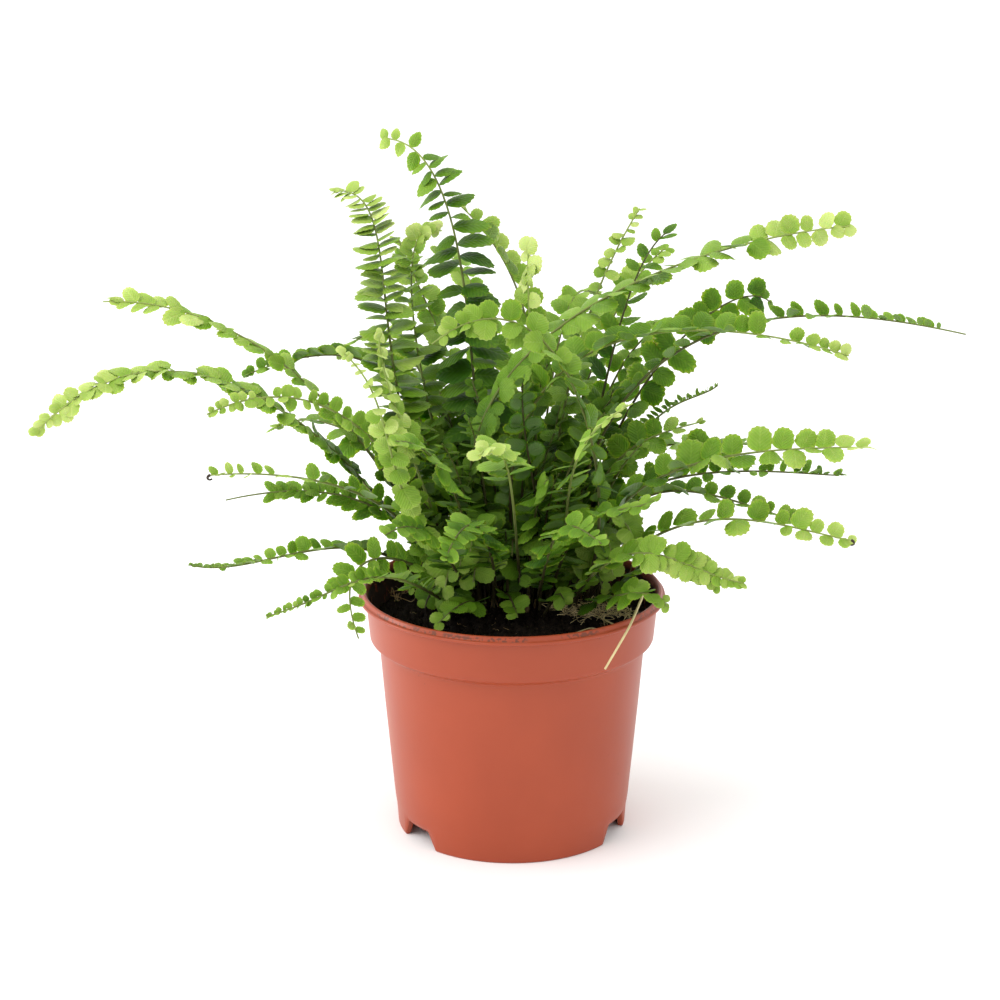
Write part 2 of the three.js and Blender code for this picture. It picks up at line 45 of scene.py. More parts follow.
# ---- Pot, as in the solid ----
POT_HEIGHT = 97.5
RIDGE = (57.3, 58.5)  # the radii between which a ridge stands on the lip
RIM_RADIUS = 60
LIP_FOOT_Z = 94.3
LIP_EDGE = 1.4
COLLAR_TOP_RADIUS = 57.3
COLLAR_FOOT_RADIUS = 55.7
COLLAR_FOOT_Z = 78.3
SHOULDER_FOOT_Z = 76
BODY_TOP_RADIUS = 52.1
BODY_FOOT_RADIUS = 46.2
FLOOR_Z = 8  # its underside
FOOT_RADIUS = 45.2
WALL = 1.2
SLOPED_WALL = 0.7
NOTCHES = 3
NOTCH_FOOT_WIDTH = 21
NOTCH_TOP_WIDTH = 15.5
NOTCH_HEIGHT = 7.3
NOTCH_CORNER = 2.2
NOTCH_TURN = 95.4  # degrees from the X axis to a notch's middle
DRAIN_HOLES = 6
DRAIN_RADIUS = 3.5
DRAIN_CIRCLE = 30  # the radius on which the holes lie

# ---- Soil, as in the solid ----
SOIL_EDGE_Z = 84
SOIL_MOUND = 4
SOIL_GAP = 0.35

# ---- Fronds, as in the solids ----
PETIOLE_SHARE = 0.15
PETIOLE_SHORTEST = 12
PETIOLE_LONGEST = 28
LEAFLET_LIFT = 0.18
LEAFLET_FOOT_SHARE = 0.5
LEAFLET_FULL_AT = 0.3
LEAFLET_TIP_LOSS = 0.6
LEAFLET_TIP_POWER = 4
ROLLED_BY = 0.5
STEM_IN_SOIL = 5.5
CHORDS = 200  # along which a spine's length is measured

# How fronds keep clear of each other and of the rim, in rounds of small moves.
ROUNDS = 70
ROOT_CLEAR = 5.2
ROOT_GAIN = 0.25
BEAD_STEP = 7
BEAD_SHARES = np.array([-1, -0.5, 0, 0.5, 1])
BLADE_CLEAR = 5.6
STEM_CLEAR = 3.4
BEND_GAIN = 0.32
YIELD = np.array([0.4, 1.8, 0.4])  # sideways, in depth and in height
RIM_CLEAR = 6
RIM_INSET = 2  # from the rim's edge to the ring that they keep clear of
TINY = 1e-6  # keeps a division clear of 0
LEAST = 1e-9  # keeps a curve's end inside its last stretch

# Each frond: its name, its root on the soil, two points that it passes, its tip, the roll of its blade in
# degrees, and how long its leaflets are.
FRONDS = [
    # left
    ("left_long", (-28, 22), (-65, 6, 147), (-120, -10, 185), (-179, -25, 167), -1, 8.5),
    ("left_high", (-25, 29), (-56, 22, 144), (-101, 24, 189), (-159, 25, 206), 0, 8.5),
    ("left_back", (-18, 38), (-33, 50, 142), (-59, 60, 171), (-108, 70, 165), -40, 8.5),
    ("left_nodding", (-27, 14), (-43, -8, 137), (-72, -28, 173), (-113, -40, 177), -40, 6),
    ("left_middle", (-32, 22), (-48, 6, 126), (-82, -6, 144), (-115, -15, 148), -45, 8.5),
    ("left_thin", (-28, 35), (-46, 30, 117), (-76, 30, 128), (-114, 30, 124), -40, 8.5),
    ("left_low", (-29, 10), (-55, -20, 119), (-89, -38, 121), (-120, -50, 123), -30, 7.5),
    ("left_front_low", (-24, 7), (-45, -36, 121), (-64, -58, 121), (-90, -70, 110), -40, 7),
    ("left_hanging", (-18, 5), (-41, -28, 117), (-58, -46, 119), (-57, -52, 94), -60, 7.5),
    # top
    ("top_tall", (-8, 31), (-13, 36, 162), (-23, 44, 234), (-51, 60, 264), -65, 14),
    ("top_left", (-15, 30), (-42, 32, 165), (-50, 44, 223), (-69, 60, 243), -55, 12),
    ("top_inner", (-9, 36), (-36, 54, 160), (-42, 62, 212), (-30, 68, 226), -35, 10),
    ("top_middle", (7, 31), (7, 42, 141), (3, 48, 194), (-23, 62, 238), 0, 9),
    ("top_thread", (4, 26), (9, 22, 140), (7, 24, 188), (6, 28, 227), 0, 7),
    ("top_crossing", (24, 8), (39, -24, 145), (17, -28, 200), (-30, -34, 203), -50, 9.5),
    # right
    ("right_upright", (13, 29), (22, 30, 141), (32, 36, 192), (51, 50, 238), 45, 9),
    ("right_dark_upright", (17, 33), (31, 46, 142), (44, 56, 196), (63, 66, 226), 30, 10),
    ("right_high", (-4, 25), (-5, 12, 171), (56, 18, 217), (130, 20, 236), 12, 9.5),
    ("right_wing", (27, 30), (41, 52, 145), (75, 62, 189), (105, 68, 196), 45, 9),
    ("right_long", (22, 28), (52, 24, 177), (112, 26, 201), (177, 25, 193), 4, 9),
    ("right_arch", (4, 18), (12, -2, 181), (68, -12, 205), (126, -16, 195), 45, 9),
    ("right_fan", (32, 35), (45, 44, 138), (65, 51, 156), (83, 56, 164), 20, 8),
    ("right_short", (27, 24), (34, 24, 127), (52, 26, 147), (76, 28, 157), 30, 9),
    ("right_broad", (30, 14), (47, -20, 139), (87, -34, 160), (133, -38, 165), 50, 9),
    ("right_thin", (34, 28), (49, 20, 132), (100, 18, 140), (130, 16, 139), 10, 8),
    ("right_nodding", (34, 20), (45, 6, 132), (77, -6, 137), (114, -16, 128), 40, 7.5),
    ("right_low", (27, 9), (53, -26, 126), (90, -38, 134), (126, -45, 131), 55, 8.5),
    ("right_front_low", (22, 3), (43, -42, 127), (64, -54, 127), (85, -62, 120), 45, 7.5),
    ("right_under", (35, 10), (46, -14, 110), (60, -26, 115), (78, -34, 109), 20, 7),
    ("right_rim", (28, 3), (39, -30, 109), (51, -42, 112), (58, -48, 106), 30, 8),
    ("right_front_middle", (14, 9), (27, -38, 135), (39, -56, 147), (53, -66, 154), 30, 8),
    # front
    ("front_bright", (4, 13), (1, -36, 134), (-3, -80, 172), (-12, -112, 183), 0, 10),
    ("front_left_young", (-22, 16), (-42, -26, 146), (-49, -44, 183), (-63, -50, 206), -20, 10.5),
    ("front_left_thread", (-20, 24), (-38, -10, 146), (-48, -18, 183), (-50, -18, 204), -60, 8),
    ("front_right_young", (18, 15), (22, -28, 129), (26, -58, 165), (43, -76, 192), 30, 8),
    ("front_dark", (12, 20), (11, -2, 124), (6, -14, 157), (4, -16, 187), 45, 9.5),
    ("front_left_low", (-15, 11), (-28, -34, 130), (-38, -60, 143), (-46, -76, 143), -30, 8),
    ("front_left_middle", (-13, 18), (-22, -26, 142), (-33, -52, 168), (-43, -74, 178), -40, 8),
    ("front_middle", (-6, 10), (-12, -38, 127), (-18, -70, 143), (-24, -98, 141), -20, 8),
    ("front_right_middle", (10, 6), (14, -40, 130), (20, -70, 147), (31, -98, 147), 20, 8),
    ("front_foot_left", (-9, -5), (-14, -12, 97), (-21, -20, 101), (-31, -28, 96), 0, 7.5),
    ("front_foot", (-2, 4), (-2, -6, 96), (0, -12, 99), (3, -20, 94), 0, 6),
    ("front_foot_right", (12, -8), (16, -14, 97), (21, -18, 102), (27, -20, 100), 10, 6.5),
    # back
    ("back_right_low", (27, 35), (44, 60, 121), (75, 82, 127), (102, 102, 117), 0, 9),
    ("back_right", (21, 37), (38, 68, 152), (60, 88, 180), (86, 102, 184), 0, 8),
    ("back_right_middle", (33, 29), (54, 48, 120), (82, 66, 134), (110, 80, 128), 0, 9),
    ("back_low", (13, 40), (21, 68, 120), (33, 92, 134), (43, 110, 124), 0, 9),
    ("back_long", (7, 37), (14, 68, 156), (24, 92, 188), (36, 112, 189), 0, 10),
    ("back_middle", (2, 41), (0, 66, 126), (-4, 90, 146), (-8, 112, 140), 0, 9),
    ("back_high", (-4, 40), (-6, 71, 158), (-18, 93, 200), (-34, 110, 204), 0, 10),
    ("back_left_low", (-9, 40), (-22, 64, 118), (-40, 84, 132), (-56, 104, 124), 0, 9),
    ("back_left", (-14, 42), (-32, 69, 146), (-52, 89, 172), (-72, 101, 166), 0, 9.5),
    ("back_left_middle", (-21, 35), (-42, 54, 126), (-72, 70, 144), (-100, 84, 138), 0, 9),
    ("back_upright", (3, 34), (-8, 55, 142), (-30, 68, 192), (-46, 80, 220), 0, 10),
    ("back_right_upright", (12, 35), (30, 64, 160), (48, 84, 198), (64, 102, 212), 0, 9.5),
]

# Where light comes from, as leaflets turn to it: the sky in front, straight above, or the front.
SKY = (-0.15, -0.4, 0.9)
ABOVE = (-0.1, 0.15, 1)
FRONT = (-0.2, -1, 0.35)

# How a frond's leaflets look where nothing else is said. Pairs are at the foot of the leafy stretch and at
# its tip, and one value holds for both. Age runs from 0, old and deep green, to 1, young and yellow-green,
# and ripens is the power with which it changes. Rise lifts each leaflet out of the blade, fold lifts those
# on the blade's lower side more, or those on its upper side if it is less than 0, and sweep points them
# towards the frond's tip, in degrees. Light is how much a face turns to where the light comes from. The
# blade is rolled by tilt, to and fro by weave, and by roll_on over the shares in turning, in degrees. Crowd
# is the spacing in lengths. Square is 1 for an oval outline and less for a squarer one, and broad widens its
# foot. Taper is the share of length that is lost at the tip, and the power with which it goes. Leaves is the
# stretch that bears leaflets, and lost is the share of them that is missing.
PLAIN = dict(
    age=(0.25, 0.65),
    ripens=1.6,
    light=(0.6, 0.5),
    light_from=SKY,
    rise=(20, 8),
    fold=0,
    sweep=(4, 20),
    tilt=0,
    weave=16,
    roll_on=0,
    turning=(0.45, 0.9),
    crowd=0.78,
    wide=0.94,
    square=0.8,
    broad=0.12,
    taper=(0, 1),
    droop=0.2,
    leaves=(0, 1),
    lost=0.05,
)
SHADED = dict(light=0.05)
FACING = dict(light_from=FRONT, light=1.5)
LOOKS = dict(
    left_long=dict(
        tilt=-4, weave=4, fold=-8, rise=4, age=(0.35, 0.95), ripens=2, sweep=(20, 30), roll_on=-50,
        turning=(0.84, 0.94), light=0, crowd=(0.5, 0.75), taper=(-0.15, 2),
    ),
    left_high=dict(
        tilt=-3, weave=4, rise=4, taper=(-0.5, 3), crowd=(0.65, 0.9), age=(0.3, 0.85), ripens=1.2,
        sweep=(35, 45), roll_on=-35, turning=(0.7, 0.82), light=0, wide=0.75, lost=0.08,
    ),
    left_back=dict(SHADED, age=(0.15, 0.35), fold=50),
    left_nodding=dict(SHADED, age=(0.4, 0.75), fold=-50, crowd=0.95),
    left_middle=dict(SHADED, age=(0.35, 0.8), rise=10, fold=65, wide=0.68, square=1, crowd=1.05),
    left_thin=dict(
        FACING, age=(0.3, 0.5), wide=0.55, square=1, sweep=(40, 55), crowd=0.42, leaves=(0, 0.78),
        taper=(0.3, 2),
    ),
    left_low=dict(SHADED, age=(0.35, 0.5), rise=10, fold=60, taper=(0.45, 1), crowd=0.95),
    left_front_low=dict(SHADED, age=(0.4, 0.5), rise=10, fold=60, taper=(0.5, 1), crowd=0.95),
    left_hanging=dict(FACING, age=(0.4, 0.6), wide=0.62, crowd=0.95, taper=(-0.3, 1)),
    top_tall=dict(
        rise=(0, 10), age=(0.1, 0.9), ripens=7, light_from=(ABOVE, FRONT), light=(1.3, 2.5), wide=0.8,
        square=1.15, broad=0.2, crowd=(0.45, 1.1), droop=0.4, sweep=(0, 5), taper=(0.25, 4),
    ),
    top_left=dict(
        age=(0.3, 0.85), light_from=ABOVE, light=(3.2, 3.5), wide=0.9, broad=0.3, crowd=(0.3, 0.42),
        taper=(0.1, 3),
    ),
    top_inner=dict(
        age=(0.25, 0.95), ripens=4, light_from=(ABOVE, FRONT), light=(3, 2), crowd=0.5, rise=(20, 30),
    ),
    top_middle=dict(
        SHADED, lost=0.15, taper=(-0.3, 2), age=(0.15, 0.75), ripens=1, rise=30, fold=50, crowd=1.0,
    ),
    top_thread=dict(FACING, age=(0.2, 0.95), taper=(-1, 6), leaves=(0.82, 1), crowd=(0.5, 0.6)),
    top_crossing=dict(ripens=3, age=(0.2, 0.75), light_from=FRONT, light=0.5, rise=(35, 25)),
    right_upright=dict(crowd=0.9, age=(0.3, 0.85), light_from=ABOVE, light=1.2, taper=(0.2, 2)),
    right_dark_upright=dict(
        age=(0.1, 0.3), light_from=ABOVE, light=1.5, square=1.1, wide=0.6, sweep=(20, 40),
        taper=(-0.5, 1),
    ),
    right_high=dict(
        age=(0.3, 0.9), ripens=3, roll_on=55, turning=(0.8, 0.87), light=(0.1, 0), rise=(4, 5),
        sweep=(40, 10), crowd=(0.75, 0.95), taper=(-0.35, 2), lost=0,
    ),
    right_wing=dict(crowd=(0.88, 1.0), age=(0.15, 0.25), roll_on=30, taper=(-0.4, 2)),
    right_long=dict(
        SHADED, age=(0.2, 0.5), rise=30, fold=50, sweep=(-40, -35), square=1.05, wide=0.62,
        crowd=(1.05, 0.8), taper=(0.1, 2), leaves=(0, 0.95),
    ),
    right_arch=dict(
        SHADED, taper=(-0.2, 1), age=(0.25, 0.95), ripens=7, rise=(20, 10), fold=60, crowd=0.88,
    ),
    right_fan=dict(
        FACING, age=(0.3, 0.5), wide=0.4, square=1.2, sweep=(-25, -10), rise=10, fold=60, crowd=0.42,
        taper=(0.4, 1),
    ),
    right_short=dict(age=(0.2, 0.8), ripens=3, crowd=0.9),
    right_broad=dict(
        age=(0.28, 0.85), ripens=3, rise=(15, 12), fold=45, crowd=0.96, taper=(-0.4, 2), lost=0,
        light=0.2,
    ),
    right_thin=dict(SHADED, age=(0.2, 0.35), wide=0.6, rise=30, fold=-40, lost=0.25),
    right_nodding=dict(SHADED, age=(0.25, 0.6), ripens=2, rise=15, fold=60, crowd=0.98),
    right_low=dict(
        age=(0.32, 0.85), ripens=2, rise=(15, 10), fold=40, crowd=1.15, taper=(-0.15, 2), lost=0,
        light=0.2,
    ),
    right_front_low=dict(age=(0.35, 0.75), crowd=0.6),
    front_bright=dict(
        leaves=(0.58, 1), age=(0.3, 1.0), ripens=5, light_from=(SKY, FRONT), light=(0.5, 1.5),
    ),
    front_left_young=dict(
        FACING, age=(0.45, 1.0), crowd=(1.1, 1.0), rise=0, light=(2.2, 3), taper=(0.28, 0.4),
    ),
    front_left_thread=dict(FACING, age=(0.5, 0.95), leaves=(0.5, 1)),
    front_right_young=dict(wide=0.7, age=(0.3, 0.95), ripens=3, light_from=(ABOVE, FRONT), light=1),
    front_dark=dict(age=(0.0, 0.1)),
    front_left_low=dict(age=(0.15, 0.35)),
    front_left_middle=dict(age=(0.2, 0.45), light_from=FRONT, light=0.5),
    front_middle=dict(age=(0.15, 0.35)),
    front_right_middle=dict(age=(0.15, 0.35)),
    right_front_middle=dict(age=(0.2, 0.5)),
)

# ---- Leaflets and stems ----
RIM_STEPS = 26  # points round a leaflet
RING_SHARE = 0.56  # where its inner ring lies between its middle and its rim
LEAF_CENTRE = 0.47
LEAF_THICK = 0.2
TOOTH = 0.045  # how far the rim goes out and in
TOOTHLESS = 0.6  # the cosine round the rim from which it has no teeth, near its foot
CUPPED = 0.3
WAVED = 0.05  # at most
LEAFY_STEPS = 400
LENGTH_RANGE = (0.7, 1.2)
WEAVES = (1, 2.2)  # how often a blade rolls to and fro
TIP_BEGINS = (0.84, 0.92)
TIP_SWEEP = 40
TIP_SWEPT = (0.92, 1)
STALK = 0.3  # from the stem's middle to a leaflet's foot, in stem radii
STEM_FOOT_RADIUS = 0.75
STEM_TIP_RADIUS = 0.3
STEM_SIDES = 6
STEM_STEP = 3
STEM_FEWEST = 12
STEM_SHADED = 0.4  # painted shade: how much darker a stem is made at its foot
STEM_SHADED_TO = (15, 60)
SHARP_ANGLE = 70
LEAF_VALUES = ("age", "tone", "under", "stem", "lengthways", "crossways")

# How much leaflets differ from each other, as one standard deviation. Rise and sweep are in degrees.
SPREAD = dict(
    rise=12, sweep=9, light=0.15, face=0.24, place=0.2, long=0.14, wide=0.08, droop=0.12, cup=0.3, age=0.06
)

# Painted shade: leaflets in the clump's heart are darker: its middle, how far it reaches, and how much
# darker.
HEART = np.array([0, 10, 110])
HEART_REACH = (35, 95)
HEART_SHADE = 0.12

# ---- Short young fronds in the clump's heart ----
CROWN_SEED = 5
CROWN_COUNT = 64
CROWN_MIDDLE = np.array([0, 20])
CROWN_REACH = np.array([36, 24])
CROWN_HEIGHT = (30, 112)
CROWN_LEAN = (0.15, 0.42)
CROWN_MIDDLE_LEAN = 0.3  # how much those in the middle lean, where the outermost lean 1 more
CROWN_NOD = 0.15  # the share of its height that a tip falls
CROWN_ROLL = (-60, 60)
CROWN_LEAFLET = (7, 9.5)
CROWN_AGE = (0.1, 0.35)
CROWN_AGES_BY = 0.15  # from foot to tip
CROWN_LIGHT = 0.8

# Young shoots round the clump's foot: root, tip, how long their leaflets are, and their age.
SHOOTS = [
    ((-14, 8), (-26, -16, 102), 11, 0.65),
    ((-12, 10), (-20, -18, 112), 10, 0.5),
    ((-8, 8), (-15, -14, 104), 11, 0.55),
    ((-6, 10), (-9, -12, 109), 10, 0.5),
    ((-8, 12), (-16, -18, 118), 10, 0.4),
    ((-4, 20), (-7, 4, 101), 9, 0.3),
    ((-8, 22), (-13, 2, 110), 10, 0.3),
    ((2, 18), (3, 2, 98), 10, 0.15),
    ((-2, 20), (-3, 4, 108), 11, 0.1),
    ((8, 20), (11, 4, 98), 10, 0.15),
    ((12, 16), (18, 0, 101), 10, 0.25),
    ((10, 22), (13, 4, 112), 11, 0.2),
    ((2, 10), (3, -8, 102), 10, 0.3),
    ((2, 12), (0, -12, 114), 11, 0.25),
    ((8, 10), (12, -12, 114), 11, 0.35),
    ((10, 8), (16, -10, 107), 10, 0.5),
    ((20, 8), (29, -8, 101), 9, 0.55),
    ((24, 10), (35, -10, 100), 9, 0.5),
    ((28, 10), (48, -22, 117), 9, 0.55),
    ((24, 8), (38, -18, 117), 10, 0.45),
    ((22, 6), (39, -14, 107), 8, 0.7),
    ((18, 20), (25, 0, 112), 10, 0.2),
    ((14, 22), (19, 0, 118), 10, 0.15),
    ((4, 22), (7, 0, 112), 10, 0.1),
    ((-10, 24), (-10, 0, 118), 10, 0.25),
    ((24, 20), (34, -4, 120), 9, 0.3),
    ((-18, 12), (-34, -6, 91), 7, 0.35),
    ((-16, 8), (-26, -12, 90), 7, 0.3),
    ((-32, 36), (-44, 24, 93), 6, 0.15),
    ((-30, 30), (-40, 12, 92), 6, 0.2),
    ((-26, 26), (-32, 10, 92), 6, 0.25),
]
SHOOT_SEED = 6
SHOOT_BULGE = 0.35
SHOOT_RISES = (0.6, 0.95)  # where it is at its thirds, as shares of the height to which it bulges
SHOOT_ROLL = (-15, 15)
SHOOT_AGES = (-0.1, 0.15)  # added to a shoot's age at its foot and at its tip
SHOOT_BARE = 0.3  # of its length at most
SHOOT_LOOK = dict(leaves=(0.1, 1), crowd=0.8, **FACING)
THIRDS = (1 / 3, 2 / 3)

# ---- Finer lines of the pot and the soil ----
POT_TURNS = 240
NOTCH_SIDE_STEPS = 12
NOTCH_SIDE_MORE = (2, 1)  # how far those steps go on past the notch's side, inwards and outwards
FOOT_EDGE_Z = 1  # the outline below this height gives way to the notches
DRAIN_SIDES = 24
DRAIN_CLEAR = 1
INSIDE_ROWS = (35.2, 36.6)  # the outline's rows over which painted shade and clinging soil begin on the inner wall
GROOVE_ROWS = (29, 30, 31)  # those of the groove between the lip's edge and its ridge
SOIL_SEED = 7
SOIL_RINGS = 70
SOIL_TURNS = 220
SOIL_WAVES = ((9, 0.315), (5, 0.21), (2.6, 0.175), (1.5, 0.1225))  # their length and height
WAVE_DIRECTIONS = 7  # for each of them

# ---- Dry stalk and stolon, as in the solids ----
DRY_STALK = [
    (40, 1, 80),
    (44, -3, 95),
    (49, -13, 102),
    (50, -21, 101.5),
    (47.5, -33, 100),
    (44, -45, 97),
    (39, -53, 91),
    (34.5, -56, 84),
]
STALK_RADII = (0.65, 0.42)
STALK_SIDES = 8
STOLON = [(24, -26), (31, -20), (37, -24), (42, -17), (36, -10), (38, -3), (46, -2), (47, 7)]
STOLON_HEIGHT = 1.2
STOLON_RADIUS = 0.3
STRAW_STEPS = 60
STRAW_PALE = 0.9

# ---- What lies on the soil ----
FIBRE_SEED = 21
FIBRES = [
    # how many, middle, reach, length, height above the soil, radius, how pale
    (120, (31, 0), (17, 11), (7, 20), (0.5, 2.8), (0.1, 0.18), (0.6, 1.3)),
    (70, (0, 0), (50, 50), (2, 7), (0.4, 1.0), (0.08, 0.15), (0.05, 0.5)),
    (22, (-40, 30), (11, 17), (9, 18), (1, 6), (0.15, 0.3), (0.2, 0.6)),
]
FIBRE_BENDS = 5
FIBRE_TURN = 0.4
FIBRE_STEPS = 16
FIBRE_SIDES = 5
FIBRE_TAPER = 0.6
# Feet of old stems: how many, middle, reach, height, radius, how pale.
STUBS = (34, (4, 12), (26, 14), (3, 8), (0.4, 0.9), (0, 0.4))
STUB_SUNK = 1  # how deep they stand in the soil
STUB_LEAN = 1.5
STUB_STEPS = 5
STUB_TAPER = 0.7
THIN_STALK = [(44, 17, 86), (45, 6, 97), (46.4, -10, 110)]
THIN_STEPS = 24
THIN_RADIUS = 0.25
THIN_PALE = 0.45
DRIED_TIPS = ("left_middle", "right_low")
CURL_SIZE = (1.1, 0.9)  # how far it goes out, and half of how far down
CURL_TURN = 4
CURL_STEPS = 9
CURL_RADIUS = 0.55
CURL_TAPER = (1.1, 1 / 8)
CURL_PALE = -0.2
EDGE_CLEAR = 4  # from the soil's edge
FIBRE_EDGE_CLEAR = 3
CRUMBS = (900, (0.35, 1.3))  # lumps of soil: how many and their radius
CRUMB_RING = 6
CRUMB_RING_AT = (0.9, 0.45)  # the rings' radius and height
CRUMB_RAISED = 0.2
CRUMB_UNEVEN = (0.7, 1.2)
CRUMB_STRETCH = (0.6, 1.2)

# ---- Floor, light and camera, in metres ----
FLOOR_HALF = 9
FLOOR_COLOUR = (0.95, 0.95, 0.95, 1)
SKY_STRENGTH = 1.2
LIGHTS = [
    # name, place, height of the point over the pot's middle that it lights, width, power in watts
    ("key", (-1.0, -0.7, 1.4), 0.12, 1.1, 10),
    ("side", (-1.5, 0.1, 0.4), 0.08, 0.9, 10),
    ("top", (0.1, 0.4, 1.6), 0.12, 1.0, 5),
]
CAMERA_PLACE = (-0.00466, -1.03, 0.446)
CAMERA_TILT = 73.1
CAMERA_LENS = 99.95
CAMERA_SENSOR = 36


def smooth(x, low, high):
    """The cubic ramp from 0 at low to 1 at high."""
    x = np.clip((x - low) / (high - low), 0, 1)
    return x * x * (3 - 2 * x)


def unit(v):
    """Directions of length 1."""
    return v / np.linalg.norm(v, axis=-1, keepdims=True)


def flat_direction(turn):
    """The direction on the ground at a turn from the X axis."""
    return np.array([np.cos(turn), np.sin(turn)])


def soil_height(x, y):
    """A shallow dome: highest in the middle, and falling with the square of the distance from it."""
    return SOIL_EDGE_Z + SOIL_MOUND * (1 - (x * x + y * y) / COLLAR_FOOT_RADIUS**2)


# ---- Spines of the fronds ----
class Frond:
    """A cubic curve with a blade across the direction in which the frond leans."""

    def __init__(self, name, root, low, high, tip, roll, leaflet):
        """The curve starts on the soil, passes low and high at its thirds and ends at the tip."""
        foot = np.array([*root, soil_height(*root)])
        low, high, tip = (np.array(p, float) for p in (low, high, tip))
        first = (-5 * foot + 18 * low - 9 * high + 2 * tip) / 6
        second = (2 * foot - 9 * low + 18 * high - 5 * tip) / 6
        self.name = name
        self.points = np.array([foot, first, second, tip])
        self.heading = math.atan2(tip[1] - root[1], tip[0] - root[0])
        self.roll = math.radians(roll)
        self.leaflet = leaflet
        self.look = dict(PLAIN, **LOOKS.get(name, {}))

    def at(self, t):
        """The cubic's points at shares t of its parameter."""
        t = t[:, None]
        weights = [(1 - t) ** 3, 3 * t * (1 - t) ** 2, 3 * t * t * (1 - t), t**3]
        return sum(w * p for w, p in zip(weights, self.points))

    def along(self, t):
        """The cubic's directions at shares t."""
        t = t[:, None]
        a, b, c = np.diff(self.points, axis=0)
        return unit((1 - t) ** 2 * a + 2 * t * (1 - t) * b + t * t * c)

    def measure(self):
        """Arc length against the parameter, as the sum of short chords, and where the leaflets begin."""
        steps = np.linalg.norm(np.diff(self.at(np.linspace(0, 1, CHORDS + 1)), axis=0), axis=1)
        self.arc = np.concatenate([[0], np.cumsum(steps)])
        self.length = self.arc[-1]
        self.bare = np.clip(PETIOLE_SHARE * self.length, PETIOLE_SHORTEST, PETIOLE_LONGEST)

    def at_length(self, s):
        """The parameter at arc lengths s."""
        return np.interp(s, self.arc, np.linspace(0, 1, CHORDS + 1))

    def blade(self, t, more=0.0):
        """The blade's three directions: along the stem, across it and up out of the blade. Across starts
        level and square to the lean, and turns about the stem by the roll, and by more radians on top."""
        along = self.along(t)
        level = np.array([-math.sin(self.heading), math.cos(self.heading), 0])
        across = unit(level - (along @ level)[:, None] * along)
        turn = (self.roll * smooth(t, 0, ROLLED_BY) + more)[:, None]
        across = across * np.cos(turn) + np.cross(along, across) * np.sin(turn)
        return along, across, np.cross(along, across)

    def leaf_length(self, v):
        """A leaflet's length at shares v of the leafy stretch: half at first, full soon, less at the tip."""
        grown = LEAFLET_FOOT_SHARE + (1 - LEAFLET_FOOT_SHARE) * smooth(v, 0, LEAFLET_FULL_AT)
        return self.leaflet * grown * (1 - LEAFLET_TIP_LOSS * np.clip(v, 0, 1) ** LEAFLET_TIP_POWER)

    def stem_radius(self, s):
        """The stem's radius at arc lengths s: it tapers evenly."""
        return STEM_FOOT_RADIUS + (STEM_TIP_RADIUS - STEM_FOOT_RADIUS) * s / self.length

    def beads(self):
        """Points spread over the blade, how far each keeps clear, and how much each inner point of the cubic
        moves with it."""
        self.measure()
        steps = round(self.length / BEAD_STEP)
        s = np.arange(1, steps + 1) / steps * self.length
        t = self.at_length(s)
        v = (s - self.bare) / (self.length - self.bare)
        _, across, up = self.blade(t)
        half = np.where(v < 0, 0, self.leaf_length(v))[:, None, None]
        shares = BEAD_SHARES[None, :, None]
        rise = LEAFLET_LIFT * np.abs(shares) * up[:, None]
        points = self.at(t)[:, None] + half * (shares * across[:, None] + rise)
        kept = (v >= 0)[:, None] | (BEAD_SHARES == 0)[None]
        clear = np.where(v < 0, STEM_CLEAR, BLADE_CLEAR) / 2
        pull = np.stack([3 * t * (1 - t) ** 2, 3 * t * t * (1 - t), t**3], 1)
        clear, pull = (np.repeat(part[:, None], len(BEAD_SHARES), 1) for part in (clear, pull))
        return points[kept], clear[kept], pull[kept]


def spread_roots(rows):
    """Roots that stand too close on the soil move apart, a little at a time."""
    roots = np.array([row[1] for row in rows], float)
    for _ in range(ROUNDS):
        for i in range(len(roots)):
            for j in range(i + 1, len(roots)):
                gap = roots[j] - roots[i]
                d = math.hypot(*gap)
                if d < ROOT_CLEAR:
                    move = gap * ROOT_GAIN * (ROOT_CLEAR - d) / d
                    roots[i] -= move
                    roots[j] += move
    return roots


def near(points, others):
    """Which points are close to the box of the others."""
    low, high = others.min(0) - BLADE_CLEAR, others.max(0) + BLADE_CLEAR
    return np.all((points > low) & (points < high), axis=1)


def off_rim(points):
    """How far each point is pushed away from the pot's rim, a ring at the lip's height."""
    out = np.hypot(points[:, 0], points[:, 1])
    dr, dz = out - (RIM_RADIUS - RIM_INSET), points[:, 2] - POT_HEIGHT
    d = np.hypot(dr, dz)
    k = np.where(d < RIM_CLEAR, (RIM_CLEAR - d) / (d + TINY), 0)
    return np.stack([dr * k * points[:, 0] / out, dr * k * points[:, 1] / out, dz * k], 1)


def bend_clear(fronds):
    """Fronds that come too close bend away from each other, and all of them bend away from the pot's rim."""
    for _ in range(ROUNDS):
        beads = [frond.beads() for frond in fronds]
        shift = np.zeros((len(fronds), 3, 3))
        for i, (a, a_clear, a_pull) in enumerate(beads):
            for j in range(i + 1, len(fronds)):
                b, b_clear, b_pull = beads[j]
                here, there = near(a, b), near(b, a)
                if not here.any() or not there.any():
                    continue
                gap = a[here][:, None] - b[there][None]
                d = np.linalg.norm(gap, axis=2)
                clear = a_clear[here][:, None] + b_clear[there][None]
                k = np.where(d < clear, (clear - d) / (2 * d + TINY), 0)
                push = k[..., None] * gap * YIELD
                shift[i] += a_pull[here].T @ push.sum(1)
                shift[j] -= b_pull[there].T @ push.sum(0)
            shift[i] += a_pull.T @ off_rim(a)
        for frond, by in zip(fronds, shift):
            frond.points[1:] += BEND_GAIN * by


